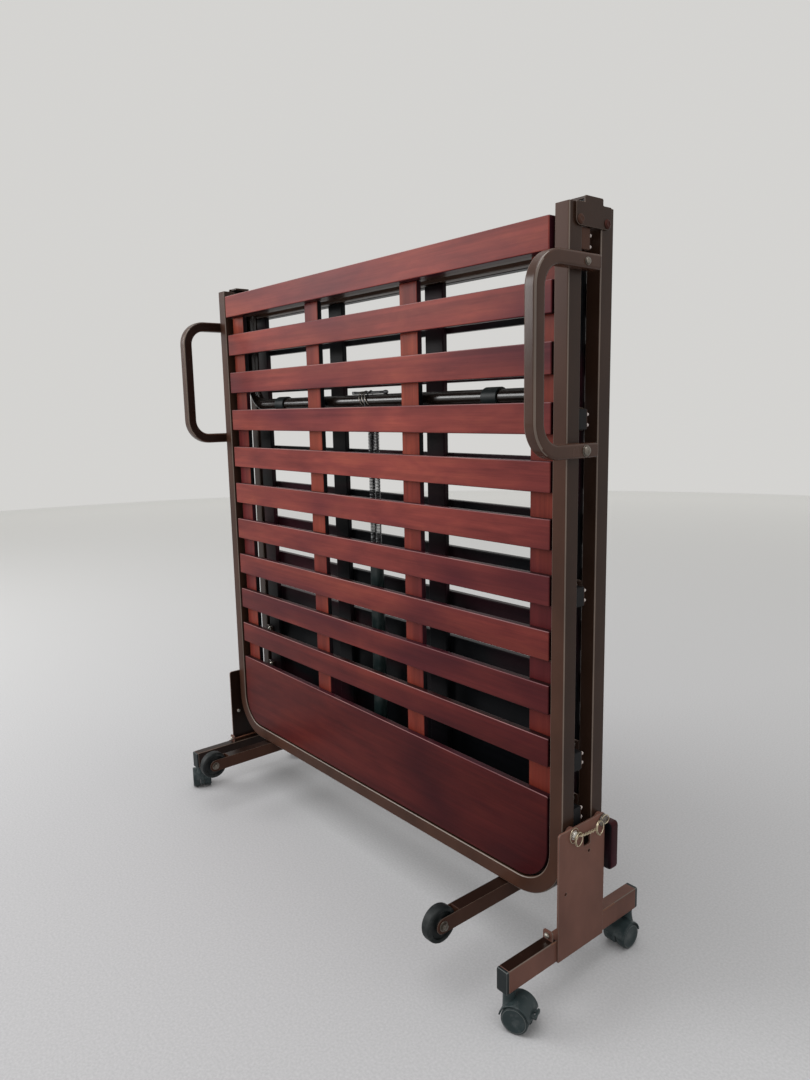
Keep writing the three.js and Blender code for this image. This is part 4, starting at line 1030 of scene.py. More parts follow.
def rear_legs():
    """Two legs under the closed end of the rear frame: a tube as far as the fork, the fork's
    two walls, round about the axle, and a welded pad between leg and frame."""
    parts = []
    back, tube_end = FOLDED_DEPTH - 0.5, WHEEL_Y + FORK_SLOT
    low, high = FORK_Z - FORK_HEIGHT / 2, FORK_Z + FORK_HEIGHT / 2
    round_end = arc(WHEEL_AXLE, FORK_HEIGHT / 2, 90, 270, 18)
    cheek = np.concatenate([round_end, [[back - 0.4, low], [back - 0.4, high]]])
    half, tube_half = FORK_WIDTH / 2, FORK_WIDTH / 2 - 0.5
    pad_y = (FOLDED_DEPTH - RAIL_DEPTH + 2, FOLDED_DEPTH - 2)
    seam_z = high + 0.8
    for side in SIDES:
        x = side * LEG_X
        parts.append(box_bar((x - tube_half, x + tube_half), (tube_end, back), (low, high),
                             0.6, "y"))
        for end in SIDES:
            wall = sorted((x + end * (half - FORK_WALL), x + end * half))
            parts.append(plate("x", wall, cheek, edge=0.8, steps=3))
        parts.append(box_bar((x - 10, x + 10), pad_y, (high - 0.4, END_TUBE_BOTTOM + 0.4),
                             1.0, "z", 0.2))
        for end in SIDES:
            seam = x + end * (half - 0.8)
            parts.append(weld_bead((seam, pad_y[0] - 1, seam_z), (seam, pad_y[1] - 1, seam_z), 2.0))
    return joined(*parts)


def axle_bolts():
    """Washers, hexagon heads and bolt ends at both sides of the forks, and the axles."""
    shapes = []
    for side in SIDES:
        for end in SIDES:
            face = side * LEG_X + end * FORK_WIDTH / 2
            washer, head = face + end * 1.2, face + end * 5.2
            shapes.append(disc("x", sorted((face, washer)), 8.0, WHEEL_AXLE, 0.4))
            shapes.append(hex_nut("x", sorted((washer, head)), 6.2, WHEEL_AXLE))
            shapes.append(dome("x", head, end * 1.2, 3.4, (0, *WHEEL_AXLE)))
        inside = FORK_WIDTH / 2 - FORK_WALL
        shapes.append(disc("x", (side * LEG_X - inside, side * LEG_X + inside), 4.0,
                           WHEEL_AXLE, 0.2))
    return joined(*shapes)


def spring_anchor():
    """Two ears on the closed end of the rear frame with the pin of the lower spring hooks."""
    tube_face = FOLDED_DEPTH - RAIL_DEPTH + GAP
    round_end = arc((MIDDLE_Y, ANCHOR_Z), ANCHOR_EAR, 45, 225, 16)
    outline = np.concatenate([round_end, [
        (MIDDLE_Y - 4.0, ANCHOR_Z - ANCHOR_EAR), (tube_face, END_TUBE_BOTTOM + 2),
        (tube_face, END_TUBE_TOP - 2)]])
    outline = rounded_outline(outline, [0.0] * len(round_end) + [3.0, 0.0, 0.0])
    inside, outside = EAR_X
    parts = [plate("x", outward(side, inside, outside), outline, edge=0.6, steps=2)
             for side in SIDES]
    parts.append(disc("x", (-inside - 0.2, inside + 0.2), ANCHOR_RADIUS,
                      (MIDDLE_Y, ANCHOR_Z), 0.3))
    parts += [dome("x", side * outside, side * 2.0, 7.0, (0, MIDDLE_Y, ANCHOR_Z))
              for side in SIDES]
    return joined(*parts)


def stop_rail():
    """Board with clipped corners and narrow bevels on all its edges."""
    x, y, z = STOP_RAIL
    return plate("y", y, rounded_outline(box_loop(x, z), (6.0,) * 4, 3), edge=STOP_BEVEL, steps=2)


def leg_faces(normals, centres):
    """Face chooser of the rear legs: 1 on rounded edges, a painted highlight, 2 on top, dark as
    painted shade.
    """
    numbers = edge_faces("x")(normals, centres)
    numbers[normals[:, 2] > 0.9] = 2
    return numbers


def inner_face(normals, centres):
    """Face chooser of the stop rail: 1 on the face towards the rear frame."""
    return (normals[:, 1] < -0.9).astype(int)


def make_frames():
    """Both panel frames with their plugs and screws, the front one's lugs, and the rear one's
    legs, spring pin and stop rail."""
    # Steel, painted highlight on the edges and painted shade on the sides, tops and inner faces.
    looks = [steel, painted_highlight_steel, leg_steel]
    for panel, turn, faces_to in PANELS:
        piece(f"tube_{panel}_frame", f"{panel}_panel", looks,
              turn(panel_frame()), [f"{panel}_frame"], frame_faces(faces_to))
    piece("rear_legs", "rear_panel", [steel, painted_highlight_steel, shaded_steel],
          rear_legs(), (), leg_faces)
    piece("spring_anchor", "rear_panel", [steel], spring_anchor())
    for panel, turn, _ in PANELS:
        body = f"{panel}_panel"
        piece(f"plugs_{panel}", body, [black_plastic], turn(rail_plugs()))
        piece(f"screws_{panel}", body, [zinc], turn(lath_screws()))
    lugs, plates, bolts = rail_lugs()
    # The lower lugs in dull black, as painted shade.
    piece("lugs_front", "front_panel", [painted_shade_black], lugs)
    piece("upper_lugs_front", "front_panel", [steel], plates)
    piece("lug_bolts_front", "front_panel", [painted_glint_zinc], bolts)
    piece("axle_bolts", "rear_panel", [dull_zinc], axle_bolts())
    piece("board_stop_rail", "rear_panel", [stop_wood, dark_inner_wood], stop_rail(),
          ["stop_rail"], inner_face)


# Grab handles

def handle(side):
    """Bent square tube flat against the outside of a front rail, with rounded arm ends."""
    half = HANDLE_TUBE / 2
    x, front = side * (PLATE_IN + half), HANDLE_FRONT + half
    low, high = HANDLE_ARMS[side]
    path = rounded_path([(x, HANDLE_END, low), (x, front, low), (x, front, high),
                         (x, HANDLE_END, high)], HANDLE_BEND, 16)
    return square_tube(path, (1, 0, 0), half, half, 4.2, 3.0)


def handle_bolts(side):
    """Domed bolt heads with washers on the arms."""
    low, high = HANDLE_ARMS[side]
    face = side * (PLATE_IN + HANDLE_TUBE)
    washer = face + side * 1.0
    shapes = []
    for centre, radius in (((15.5, low), 6.6), ((12.5, high - 1.5), 4.4)):
        shapes.append(disc("x", sorted((face - side * GAP, washer)), 1.2 * radius, centre, 0.4))
        shapes.append(dome("x", washer, side * 0.6 * radius, radius, (0, *centre)))
    return joined(*shapes)


def handle_faces(side):
    """Face chooser of a handle: 1 on its front edges, a painted highlight, 2 on the side towards
    the bed, dark as painted shade.
    """
    def choose(normals, centres):
        numbers = np.zeros(len(normals), int)
        numbers[(np.abs(normals[:, 0]) > 0.4) & (normals[:, 1] < -0.4)] = 1
        numbers[normals[:, 0] * side < -0.9] = 2
        return numbers
    return choose


def make_handles():
    """Two grab handles on the front panel."""
    for side, word in SIDE_WORDS:
        piece(f"tube_handle_{word}", "front_panel",
              [glossy_steel, painted_highlight_steel, shaded_steel], handle(side), [f"handle_{word}"],
              handle_faces(side))
        piece(f"handle_bolts_{word}", "front_panel", [dull_zinc],
              handle_bolts(side))


# Link, middle leg and springs

def hinge_bracket(side):
    """Plate outside the rails with a raised middle, the flange folded inwards at its top and
    the web towards the leg's upright."""
    (left, right), low, neck = BRACKET_Y, BRACKET_BOTTOM, BRACKET_NECK / 2
    corners = ((left, low), (right, low), (right, RAIL_TOP), (MIDDLE_Y + neck, RAIL_TOP),
               (MIDDLE_Y + neck, BRACKET_TOP), (MIDDLE_Y - neck, BRACKET_TOP),
               (MIDDLE_Y - neck, RAIL_TOP), (left, RAIL_TOP))
    outline = rounded_outline(corners, (8.6, 8.6, 2.0, 1.5, 2.5, 2.5, 1.5, 2.0), 8)
    upright = LEG_HALF_SPAN + LEG_RADIUS
    flange_y = (MIDDLE_Y - FLANGE_DEPTH / 2, MIDDLE_Y + FLANGE_DEPTH / 2)
    web_y = (MIDDLE_Y - WEB_DEPTH / 2, MIDDLE_Y + WEB_DEPTH / 2)
    return joined(
        plate("x", outward(side, PLATE_IN, PLATE_OUT), outline, edge=0.7),
        box_bar(outward(side, PLATE_OUT - 1 - FLANGE_LENGTH, PLATE_OUT - 1), flange_y,
                (FLANGE_BOTTOM, BRACKET_TOP), 1.0),
        box_bar(outward(side, upright - 1, PLATE_OUT - 1), web_y, WEB_Z, 1.0),
        *[weld_bead((side * upright, y, WEB_Z[0] + 0.5), (side * upright, y, WEB_Z[1] - 0.5), 1.4)
          for y in web_y])


def middle_leg():
    """Round tube bent to a U: its outer skin, back along its bore and closed at both rims."""
    x, top, sides = LEG_HALF_SPAN, WEB_Z[1], 28
    path = rounded_path([(-x, MIDDLE_Y, top), (-x, MIDDLE_Y, LEG_Z), (x, MIDDLE_Y, LEG_Z),
                         (x, MIDDLE_Y, top)], LEG_BEND, 14)
    skin, bore = (wire(path, radius, sides)[0].reshape(-1, sides, 3)
                  for radius in (LEG_RADIUS, LEG_RADIUS - LEG_TUBE_WALL))
    return loft(np.concatenate([skin, bore[::-1]]), closed_path=True)


def hinge_nuts():
    """Nuts on the inner ends of the hinge pins."""
    face = RAIL_INNER - GAP
    return joined(*[hex_nut("x", outward(side, face - 4.2, face), PIVOT_NUT, (y, HINGE_Z))
                    for side in SIDES for y in HINGE_Y])


def rivet_head(side, y):
    """Upset rivet: a low cone with a rounded rim and a flat top."""
    foot = side * (PLATE_OUT - GAP)
    heights = ((0, 0.0), (6.5, 0.0), (6.5, 0.9), (6.1, 1.5), (4.4, 2.3), (3.6, 2.5), (3.2, 2.2),
               (0, 2.1))
    profile = [(radius, foot + side * height) for radius, height in heights]
    return revolved(profile, "x", (0, y, HINGE_Z))


def leg_sleeve(side):
    """Plastic ring round the leg tube: the inner wall, then the outer one with rounded rims."""
    bore, outside = LEG_RADIUS + GAP, LEG_RADIUS + SLEEVE_WALL
    middle, half = side * SLEEVE_HALF_SPREAD, SLEEVE_LENGTH / 2
    rim = [(bore, half), (outside - 1, half), (outside - 0.3, half - 0.3), (outside, half - 1)]
    profile = [(r, middle - x) for r, x in rim] + [(r, middle + x) for r, x in reversed(rim)]
    return revolved(profile, "x", (0, MIDDLE_Y, LEG_Z), 40)


def yoke():
    """Rod through the upper spring hooks with a block on its left end and a thick right end."""
    left, right = ROD_SPAN
    profile = [(0, left + 2), (ROD_RADIUS, left + 2), (ROD_RADIUS, right - 13), (3.3, right - 10),
               (3.8, right - 6), (3.3, right - 2), (2.0, right), (0, right + 0.3)]
    rod = revolved(profile, "x", (0, MIDDLE_Y, ROD_Z + 0.4), 20)
    block = box_bar((left - 0.5, left + 8.0), (MIDDLE_Y - 4, MIDDLE_Y + 4),
                    (ROD_Z - 2.2, ROD_Z + 3.4), 1.5)
    return joined(rod, block)


def yoke_wraps():
    """Thin wire wound round the rod and leaning down over the front of the leg tube, in the
    form (start + lean u, y - r sin a, z + r cos a). The angle a grows evenly with u, and the
    radius r shrinks onto the tube with (1 - u) squared."""
    u = np.linspace(0, 1, 16)
    angle = np.radians(-20 + 135 * u)
    radius = LEG_RADIUS + 1.3 + 2 * ROD_RADIUS * (1 - u) ** 2
    y, z = MIDDLE_Y - radius * np.sin(angle), LEG_Z + radius * np.cos(angle)
    leans = (21.0, 27.0, 21.0, 27.0)
    return joined(*[wire(np.column_stack([start + lean * u, y, z]), WRAP_WIRE, 8)
                    for start, lean in zip(WRAP_STARTS, leans)])


def at_x(loop, x):
    """Points (y, z) as points in the plane across the bed at x."""
    loop = np.asarray(loop, float)
    return np.column_stack([np.full(len(loop), x), loop])


def spring(side):
    """Hook over the rod, a leaning run down past the front of the leg tube, coils, a straight
    end and a hook round the spring pin. Coils: (x + r cos t, y + r sin t, top + pitch t / 2 pi)
    with t falling by a full turn for each coil. The two upper runs cross in front of the tube."""
    x, top_x, thick = side * SPRING_X, HOOK_X - side * SPRING_X, WIRE_RADIUS[-1]
    hook, eye = ROD_RADIUS + GAP + thick, ANCHOR_RADIUS + GAP + thick
    pass_y = MIDDLE_Y - LEG_RADIUS - GAP - thick - (1.2 if side > 0 else 0.0)
    lean = lambda share: top_x + share * (x - top_x)
    t = -np.pi / 2 - np.arange(COIL_COUNT * 12 + 1) * 2 * np.pi / 12
    turns = np.column_stack([x + COIL_RADIUS * np.cos(t), MIDDLE_Y + COIL_RADIUS * np.sin(t),
                             COIL_TOP + COIL_PITCH * (t + np.pi / 2) / (2 * np.pi)])
    path = np.concatenate([
        at_x([(MIDDLE_Y + hook, ROD_Z - ROD_RADIUS)], top_x),
        at_x(arc((MIDDLE_Y, ROD_Z), hook, 0, 180, 10), top_x),
        [(lean(0.3), pass_y, (LEG_Z + ROD_Z) / 2), (lean(0.7), pass_y, LEG_Z - LEG_RADIUS)],
        turns,
        at_x([(MIDDLE_Y, COIL_BOTTOM - COIL_PITCH), (MIDDLE_Y, TUBE_BOTTOM + COIL_RADIUS)], x),
        at_x(arc((MIDDLE_Y, ANCHOR_Z), eye, 180, 360, 10), x),
        at_x([(MIDDLE_Y + eye, ANCHOR_Z + ANCHOR_RADIUS)], x)])
    return wire(smoothed(path), WIRE_RADIUS[side], 8)


def spring_sleeve():
    """Flat oval sleeve: its wall's section goes round, up outside and down inside."""
    def oval(radius, z):
        loop = np.concatenate([arc((SPRING_X, MIDDLE_Y), radius, -90, 90, 14),
                               arc((-SPRING_X, MIDDLE_Y), radius, 90, 270, 14)])
        return np.column_stack([loop, np.full(len(loop), z)])
    bore, outside = TUBE_BORE, TUBE_BORE + TUBE_WALL
    low, high = TUBE_BOTTOM, TUBE_TOP
    rings = np.stack([oval(bore, low), oval(outside - 0.4, low), oval(outside, low + 0.5),
                      oval(outside, high - 0.5), oval(outside - 0.4, high), oval(bore, high)])
    return loft(rings, closed_path=True)


def make_link():
    """Hinge brackets with their pins, and the middle leg with its sleeves."""
    piece("tube_center_leg", "link", [tube_steel], middle_leg(), ["center_leg"])
    # Painted highlight on the brackets' rounded edges.
    piece("brackets_hinge", "link", [leg_steel, painted_highlight_steel],
          joined(hinge_bracket(-1), hinge_bracket(1)), (), edge_faces("x"))
    piece("hinge_nuts", "link", [dull_zinc], hinge_nuts())
    for side, word in SIDE_WORDS:
        for y, look, where in ((HINGE_Y[0], steel, "front"), (HINGE_Y[1], rust, "rear")):
            piece(f"rivet_{where}_{word}", "link", [look], rivet_head(side, y))
        piece(f"ring_leg_sleeve_{word}", "link", [black_plastic],
              leg_sleeve(side), [f"leg_sleeve_{word}"])


def make_springs():
    """Both springs with their rod, the wire round it and the sleeve. The springs are handed
    the sleeve's upper end and the first coil as their ends, which piece() doesn't use."""
    piece("rod_spring_yoke", "spring_hanger", [spring_wire], yoke(),
          ["spring_yoke"])
    piece("wraps_spring_yoke", "spring_hanger", [dull_zinc], yoke_wraps())
    ends = at_x([(MIDDLE_Y, TUBE_TOP), (MIDDLE_Y, COIL_TOP)], 0.0)
    fixed_end, pulled_end = place(ends).tolist()
    for side, word in SIDE_WORDS:
        piece(f"wire_spring_{word}", ("spring_pack", "spring_hanger", fixed_end, pulled_end),
              [spring_wire], spring(side), [f"spring_{word}"])
    piece("sleeve_springs", "spring_pack", [sleeve_plastic], spring_sleeve(),
          ["spring_sleeve"])


# Stands

def foot_tube(side):
    """Foot in two lengths, so that the top in front of the plate can be chosen by itself for its
    painted shade.
    """
    back = box_bar(outward(side, STAND_IN - FOOT_WIDTH, STAND_IN), (STAND_Y[0] - 1, FOOT_Y[1]),
                   FOOT_Z, 2.0, "y")
    front = box_bar(outward(side, STAND_IN - FOOT_WIDTH - 0.03, STAND_IN + 0.03),
                    (FOOT_Y[0], STAND_Y[0]), (FOOT_Z[0], FOOT_Z[1] + 0.05), 2.0, "y")
    return joined(back, front)


def stand_plate(side):
    """Upright plate with a square window and three round holes, one of them blind."""
    y, z, width, height = PLATE_WINDOW
    holes = [rounded_rect(width / 2, height / 2, 1.5) + np.array([y, z]),
             circle(LOCK_HOLE_RADIUS, 24, (LOCK_Y, PIVOT_Z))]
    holes += [circle(PLATE_HOLE_RADIUS, 16, centre) for centre in PLATE_HOLES]
    outline = rounded_outline(box_loop(STAND_Y, (FOOT_Z[0], STAND_TOP)), (1.5, 1.5, 5.0, 5.0))
    blind = disc("x", outward(side, STAND_IN - 2, STAND_IN + 0.2), 4.5, PLATE_HOLES[1], 0.3)
    return joined(plate("x", outward(side, STAND_IN, STAND_OUT), outline, holes, 0.4, 2), blind)


def stand_bushes(side):
    """Bushes between plate and rails: a solid one at the pivot, one with a bore at the lock."""
    pivot = disc("x", outward(side, PLATE_IN, STAND_IN), BUSH_RADIUS, (PIVOT_Y, PIVOT_Z), 0.5)
    rims = [(LOCK_HOLE_RADIUS, PLATE_IN), (BUSH_RADIUS - 0.5, PLATE_IN),
            (BUSH_RADIUS, PLATE_IN + 0.5), (BUSH_RADIUS, STAND_IN), (LOCK_HOLE_RADIUS, STAND_IN)]
    lock = revolved([(r, side * x) for r, x in rims], "x", (0, LOCK_Y, PIVOT_Z))
    return joined(pivot, lock)


def bolt_tab(side):
    """Small upright tab on the foot in front of the plate."""
    outline = rounded_outline(box_loop(outward(side, STAND_IN - 19, STAND_IN - 1),
                                       (FOOT_Z[1] - 0.5, FOOT_Z[1] + 15)),
                              (0, 0, 4.0, 4.0))
    return plate("y", (TAB_FACE, TAB_FACE + 2.5), outline, edge=0.5, steps=2)


def stand_welds(side):
    """Beads along the foot before and behind the plate, inside it, and below it."""
    outer, inner = side * (STAND_IN + 0.3), side * (STAND_IN - 0.4)
    front, back = STAND_Y
    low, top = FOOT_Z
    lines = [(outer, back + 1, back + 34, top - 0.6, 1.0),
             (outer, front - 13, front - 1, top - 0.6, 1.0),
             (inner, front + 2, back - 2, top + 0.4, 2.0),
             (outer, 2.0, 10.0, low - 0.2, 1.3),
             (outer, 46.0, 54.0, low - 0.2, 1.3)]
    return joined(*[weld_bead((x, start, z), (x, end, z), radius)
                    for x, start, end, z, radius in lines])


def stand_sides(side):
    """Face chooser of a stand: 1 on rounded edges, a painted highlight, 2 on its inner side and
    on the top of the foot, on the right stand only in front of the plate, dark as painted shade,
    and 0 elsewhere."""
    above_foot = (FOOT_Z[1] + 3.0) * MM
    def choose(normals, centres):
        numbers = edge_faces("x")(normals, centres)
        in_front = centres[:, 1] < FACE_Y + STAND_Y[0] * MM
        on_top = (normals[:, 2] > 0.9) & (centres[:, 2] < above_foot)
        numbers[on_top & (in_front | (side < 0))] = 2
        numbers[normals[:, 0] * side < -0.9] = 2
        return numbers
    return choose


def oblique_faces(normals, centres):
    """Face chooser: 1 on the rounded edges between the flat sides of a box."""
    return (np.abs(normals).max(axis=1) < 0.94).astype(int)


def stand_bolts(side):
    """Domed pivot bolt, its nut inside the rail, the screw behind the blind hole, and the small
    bolt of the tab."""
    pivot, washer, nut = (PIVOT_Y, PIVOT_Z), STAND_OUT + 0.8, RAIL_INNER - GAP
    tab_x, tab_z, head = side * (STAND_IN - 10), FOOT_Z[1] + 8, TAB_FACE - 3.2
    return joined(
        disc("x", outward(side, STAND_OUT, washer), 7.0, pivot, 0.3),
        dome("x", side * washer, side * 3.6, 5.8, (0, *pivot)),
        hex_nut("x", outward(side, nut - 4.2, nut), PIVOT_NUT, pivot),
        dome("x", side * (STAND_IN - 2), -side * 1.8, 3.8, (0, *PLATE_HOLES[1])),
        hex_nut("y", (head, TAB_FACE), 4.6, (tab_x, tab_z)),
        dome("y", head, -1.4, 2.5, (tab_x, 0, tab_z)))


def foot_cap(side, where):
    """Plug over the front or rear end of a foot."""
    y = {"front": (CAP_Y[0], FOOT_Y[0] - 0.1), "rear": (FOOT_Y[1] + 0.1, CAP_Y[1])}[where]
    return box_bar(outward(side, STAND_IN - FOOT_WIDTH, STAND_IN), y, FOOT_Z, 2.5, "y", 1.4)


def make_stands():
    """Both stands with their welds, bolts and foot caps."""
    for side, word in SIDE_WORDS:
        body = f"stand_{word}"
        shape = joined(foot_tube(side), stand_plate(side), stand_bushes(side), bolt_tab(side))
        piece(f"steel_{body}", body, [red_steel, painted_highlight_steel, shaded_steel],
              shape, [body], stand_sides(side))
        piece(f"welds_{body}", body, [weld_steel], stand_welds(side))
        piece(f"bolts_{body}", body, [zinc], stand_bolts(side))
        for where in ("front", "rear"):
            piece(f"plug_foot_cap_{where}_{word}", body,
                  [black_plastic, worn_plastic], foot_cap(side, where),
                  [f"foot_cap_{where}_{word}"], oblique_faces)


# Lock pin with its rings and chain

def ring(centre, radius, wire_radius, lean=0.0, tilt=0.0, turns=1.0):
    """Wire ring near the plane of the stand plate: the circle (0, r cos t, r sin t) turned
    back by lean about y and on by tilt about z. More than one turn makes a split ring, whose
    turns lie side by side."""
    t = np.linspace(0, 2 * np.pi * turns, int(36 * turns), endpoint=turns > 1)
    step = wire_radius * 2.05 * (t / (2 * np.pi)) * (turns > 1)
    points = np.column_stack([step, radius * np.cos(t), radius * np.sin(t)])
    points = points @ turning("y", -lean) @ turning("z", tilt)
    return wire(points + np.array(centre), wire_radius, 8, turns == 1.0)


def chain(start, end, sag):
    """Links along a line that hangs down by 4 sag u (1 - u). Each link is a long loop of wire,
    turned a quarter from the one before."""
    start, end = np.array(start), np.array(end)
    count = int(round(np.linalg.norm(end - start) * 1.05 / LINK_PITCH))
    hang = lambda u: start + (end - start) * u - np.array([0, 0, 4 * sag * u * (1 - u)])
    t = np.linspace(0, 2 * np.pi, 14, endpoint=False)[:, None]
    out = np.array([1.0, 0, 0])
    links = []
    for number in range(count):
        u = (number + 0.5) / count
        along = hang(u + 0.01) - hang(u - 0.01)
        along /= np.linalg.norm(along)
        up = np.cross(along, out)
        across = (out + up) / math.sqrt(2) if number % 2 else (up - out) / math.sqrt(2)
        loop = (hang(u) + LINK_HALF_LENGTH * np.cos(t) * along
                + LINK_HALF_WIDTH * np.sin(t) * across)
        links.append(wire(loop, LINK_WIRE, 6, True))
    return joined(*links)


def lock_pin():
    """Shank through plate and bush, domed knob with a raised rim."""
    tip, foot = HALF_WIDTH + 0.8, STAND_OUT + GAP
    profile = [(0, tip), (3.4, tip), (4.0, tip + 0.8), (4.0, foot), (9.5, foot), (9.5, foot + 1.6),
               (8.6, foot + 2.4), (6.5, foot + 2.9), (4.0, foot + 3.8), (0, foot + 4.0)]
    return revolved(profile, "x", (0, LOCK_Y, PIVOT_Z), 36)


def make_lock():
    """Lock pin of the right stand, the rings on pin and pivot bolt, and the chain between."""
    x = STAND_OUT + 3.2
    piece("knob_lock_pin", "lock_pin", [dull_zinc], lock_pin(), ["lock_pin"])
    piece("rings_lock_pin", "lock_pin", [chain_metal], joined(
        ring((x, LOCK_Y - 12.5, PIVOT_Z - 7.0), 10.0, 0.85, 0.1, 0.15, 1.7),
        ring((x + 0.6, LOCK_Y + 1.5, PIVOT_Z + 1.5), 7.0, 0.8, -0.05, -0.2)))
    piece("chain_lock_pin", "lock_pin", [chain_metal], chain(
        (x + 0.8, LOCK_Y - 20.5, PIVOT_Z - 6.0), (x + 0.6, PIVOT_Y + 6.5, PIVOT_Z - 2.5), 1.2))
    piece("rings_stand_right", "stand_right", [chain_metal], joined(
        ring((x - 1.6, PIVOT_Y - 1.5, PIVOT_Z + 0.3), 10.8, 0.6, 0.05, 0.1),
        ring((x - 0.6, PIVOT_Y + 6.0, PIVOT_Z - 7.5), 10.0, 0.8, 0.06, 0.15, 1.6)))


# Casters and leg wheels

def at_stem(shape, angle, x, y):
    """The shape of a caster's part turned about its stem and moved to the stem's place."""
    points, faces = shape
    return points @ turning("z", angle) + np.array([x, y, 0.0]), faces


def caster_neck():
    """Oval neck under the foot: nine rings of widths 9 by 9 + 4 u^2, whose heights go from the
    foot down to the fender's round top."""
    angle = np.linspace(0, 2 * np.pi, 32, endpoint=False)
    top = FOOT_Z[0] - GAP
    rings = []
    for u in np.linspace(0, 1, 9):
        x, y = 9.0 * np.cos(angle), (9.0 + 4.0 * u ** 2) * np.sin(angle)
        reach = (FENDER_RADIUS + 0.6) ** 2 - (x - CASTER_TRAIL) ** 2
        saddle = np.minimum(CASTER_RADIUS + np.sqrt(np.maximum(reach, 0.0)), top - 6)
        rings.append(np.column_stack([x, y, top + (saddle - top) * u ** 0.8]))
    return loft(np.array(rings))


def caster_hood(with_brake):
    """Hood drawn about its stem, trailing towards +x: a fender over both wheels, a web between
    them, a neck with a washer and, on a front caster, the brake tab."""
    axle, wide, top = (CASTER_TRAIL, CASTER_RADIUS), CASTER_WIDTH / 2, FOOT_Z[0] - GAP
    ridge = arc(axle, FENDER_RADIUS, 172, 8, 25)
    path = np.column_stack([ridge[:, 0], np.zeros(len(ridge)), ridge[:, 1]])
    fender = swept(path, (0, 1, 0), lambda s: rounded_rect(1.1 - s, wide - s, 1.0 - s), 0.8)
    web = plate("y", (-4.0, 4.0), arc(axle, FENDER_RADIUS - 0.4, -27, 207, 36),
                [circle(3.4, 20, axle)], 0.5, 2)
    washer = disc("z", (top - 1.1, top), 9.6, (0, 0), 0.3)
    parts = [fender, web, caster_neck(), washer]
    if with_brake:
        x = axle[0] + FENDER_RADIUS - 1.0
        parts += [box_bar((x, x + 8), (y - 3.2, y + 3.2), (24.0, 28.0), 1.2, "x", 1.2)
                  for y in (-6.0, 6.0)]
        parts.append(box_bar((x + 4.5, x + 8.2), (-9, 9), (25.0, 30.5), 1.6, "y", 1.6))
    return joined(*parts)


def both_wheels(profile):
    """Profile of (radius, distance from the caster's middle) turned into two wheels."""
    centre = (CASTER_TRAIL, 0, CASTER_RADIUS)
    return [revolved([(r, side * y) for r, y in profile], "y", centre, 40) for side in SIDES]


def caster_wheels():
    """Two wheels on one axle: hub cap, groove, rounded tread and inner face of each."""
    profile = [(0, 19.3), (11.2, 19.3), (12.2, 20.0), (16.6, 20.0), (16.9, 19.2), (17.6, 19.2),
               (17.9, 19.9), (18.8, 19.5), (19.6, 18.5), (20.0, 17.0), (20.0, 7.0), (19.6, 5.6),
               (18.4, 4.8), (0, 4.6)]
    axle = disc("y", (-4.8, 4.8), 3.0, (CASTER_TRAIL, CASTER_RADIUS), 0.2)
    return joined(*both_wheels(profile), axle)


def caster_rings():
    """Worn raised ring in the groove of each wheel."""
    return joined(*both_wheels([(16.7, 19.1), (16.9, 19.8), (17.3, 20.0), (17.7, 19.8),
                                (17.8, 19.1)]))


def leg_wheel(side):
    """Wheel between the fork walls: bore, dished side and rounded tyre, alike on both sides."""
    half, rim = WHEEL_WIDTH / 2, WHEEL_RADIUS
    quarter = [(4.4, half - 0.8), (8.6, half - 0.2), (9.4, half - 0.9), (10.4, half - 3.4),
               (19.5, half - 3.6), (20.6, half - 3.2), (21.4, half - 0.6), (22.2, half),
               (25.2, half), (26.8, half - 0.7), (27.7, half - 2.2), (rim, half - 4.0)]
    profile = quarter + [(r, -x) for r, x in reversed(quarter)]
    return revolved([(r, side * LEG_X + x) for r, x in profile], "x", (0, *WHEEL_AXLE), 48)


def make_wheels():
    """Four casters and the two wheels of the rear legs."""
    for side, word in SIDE_WORDS:
        turns = {"front": CASTER_TURN if side > 0 else 180 - CASTER_TURN, "rear": -90}
        for where, turn in turns.items():
            put = lambda shape: at_stem(shape, math.radians(turn), side * FOOT_X, STEM_Y[where])
            label, wheels = f"{where}_{word}", f"caster_pair_{where}_{word}"
            piece(f"hood_{label}", f"caster_{label}", [caster_plastic],
                  put(caster_hood(where == "front")), [f"caster_hood_{label}"])
            piece(f"wheels_{label}", wheels, [caster_plastic],
                  put(caster_wheels()), [f"caster_wheels_{label}"])
            piece(f"rings_{label}", wheels, [worn_plastic], put(caster_rings()))
        piece(f"tyre_leg_wheel_{word}", f"leg_wheel_{word}", [tread_rubber],
              leg_wheel(side), [f"leg_wheel_{word}"])


# Camera and light

def make_camera():
    """Camera looking along (-sin yaw, cos yaw) and down by the pitch, then rolled."""
    yaw, pitch, roll = map(math.radians, (CAMERA_YAW, CAMERA_PITCH, CAMERA_ROLL))
    level = math.cos(pitch)
    forward = Vector((-math.sin(yaw) * level, math.cos(yaw) * level, -math.sin(pitch)))
    right = Vector((math.cos(yaw), math.sin(yaw), 0.0))
    down = forward.cross(right)
    right, down = (math.cos(roll) * right + math.sin(roll) * down,
                   math.cos(roll) * down - math.sin(roll) * right)
    data = bpy.data.cameras.new("camera")
    data.sensor_width = SENSOR
    data.lens = SENSOR * FOCAL_PIXELS / PHOTO_HEIGHT
    data.clip_end = 60.0
    camera = bpy.data.objects.new("camera", data)
    turn = Matrix((right, -down, -forward)).transposed()
    camera.matrix_world = Matrix.Translation(CAMERA_PLACE) @ turn.to_4x4()
    bpy.context.scene.collection.objects.link(camera)
    bpy.context.scene.camera = camera


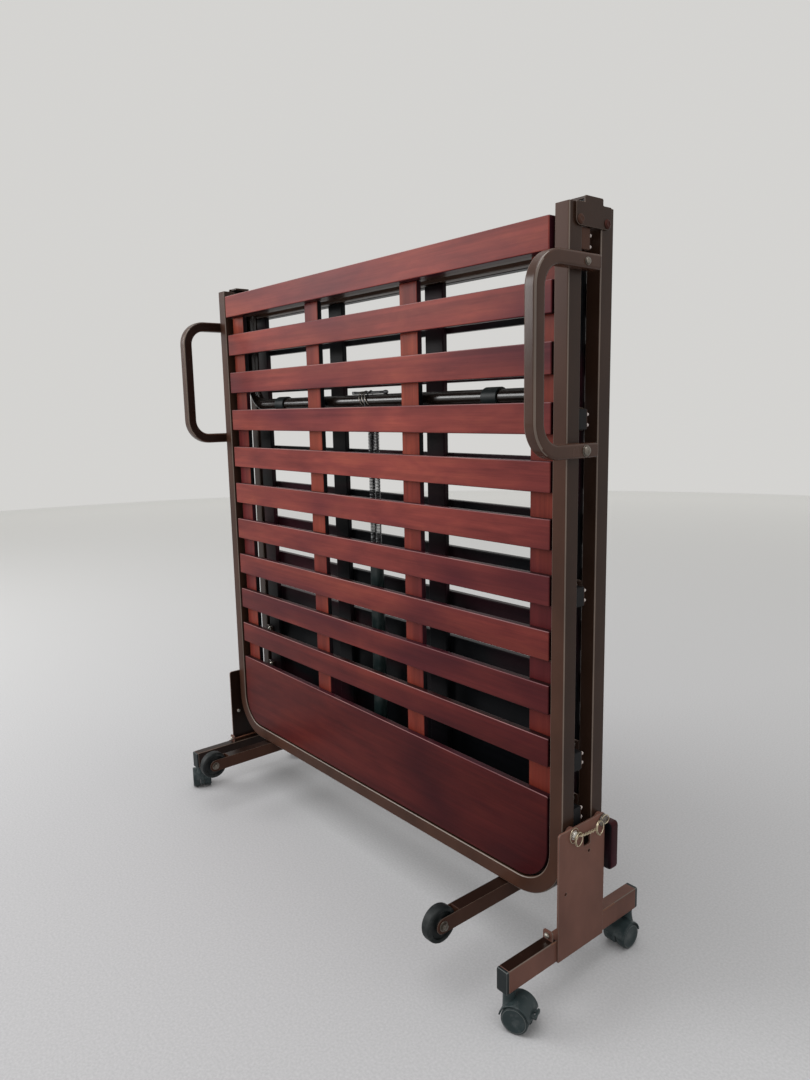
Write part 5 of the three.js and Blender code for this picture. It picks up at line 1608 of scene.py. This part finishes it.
def soft_lamp(name, place_at, size, power, aim):
    """Rectangular lamp at a place, turned towards another."""
    data = bpy.data.lights.new(name, "AREA")
    data.shape = "RECTANGLE"
    data.size, data.size_y = size
    data.energy = power
    lamp = bpy.data.objects.new(name, data)
    lamp.location = place_at
    lamp.rotation_euler = (Vector(aim) - Vector(place_at)).to_track_quat("-Z", "Y").to_euler()
    bpy.context.scene.collection.objects.link(lamp)


def make_floor():
    """Pale round floor: a finely speckled disc that gets lighter towards its edge. This is
    painted light, which brings the far floor up to the brightness of the sky.
    """
    rim = FLOOR_RADIUS * circle(1.0, 96)
    mesh = bpy.data.meshes.new("studio")
    mesh.from_pydata(np.column_stack([rim, np.zeros(len(rim))]).tolist(), [],
                     [list(range(len(rim)))])
    floor = bpy.data.objects.new("studio", mesh)
    bpy.context.scene.collection.objects.link(floor)
    finish = Finish("pale floor", Roughness=0.85)
    fine = finish.noise((260.0, 260.0, 260.0), 3.0, 0.6)
    grain = finish.ramp(fine, ((0.3, (0.84, 0.84, 0.845)), (0.7, grey(1.0))))
    distance = finish.node("ShaderNodeVectorMath", Vector=finish.mapped((1 / FLOOR_RADIUS,) * 3))
    distance.operation = "LENGTH"
    painted_floor_light = finish.ramp(distance.outputs["Value"], ((0.1, FLOOR_NEAR), (0.9, FLOOR_FAR)))
    finish.set("Base Color", finish.mix(1.0, grain, painted_floor_light, "MULTIPLY"))
    mesh.materials.append(finish.material)


def make_light():
    """Even pale sky, and three soft lamps: at the left, at the right and above."""
    world = bpy.data.worlds.new("even sky")
    world.use_nodes = True
    background = world.node_tree.nodes["Background"]
    background.inputs["Color"].default_value = SKY_COLOR
    background.inputs["Strength"].default_value = SKY_STRENGTH
    bpy.context.scene.world = world
    soft_lamp("key lamp", (-2.7, -2.7, 2.2), (2.4, 1.8), 90.0, (0.0, 0.0, 0.8))
    soft_lamp("side lamp", (3.2, -0.6, 1.9), (1.8, 1.8), 8.0, (0.0, 0.0, 0.55))
    soft_lamp("top lamp", (0.2, -0.6, 3.4), (2.5, 2.5), 55.0, (0.0, 0.0, 0.55))


make_camera()
make_decks()
make_frames()
make_handles()
make_link()
make_springs()
make_stands()
make_lock()
make_wheels()
make_floor()
make_light()

bpy.context.scene.view_settings.view_transform = "Standard"
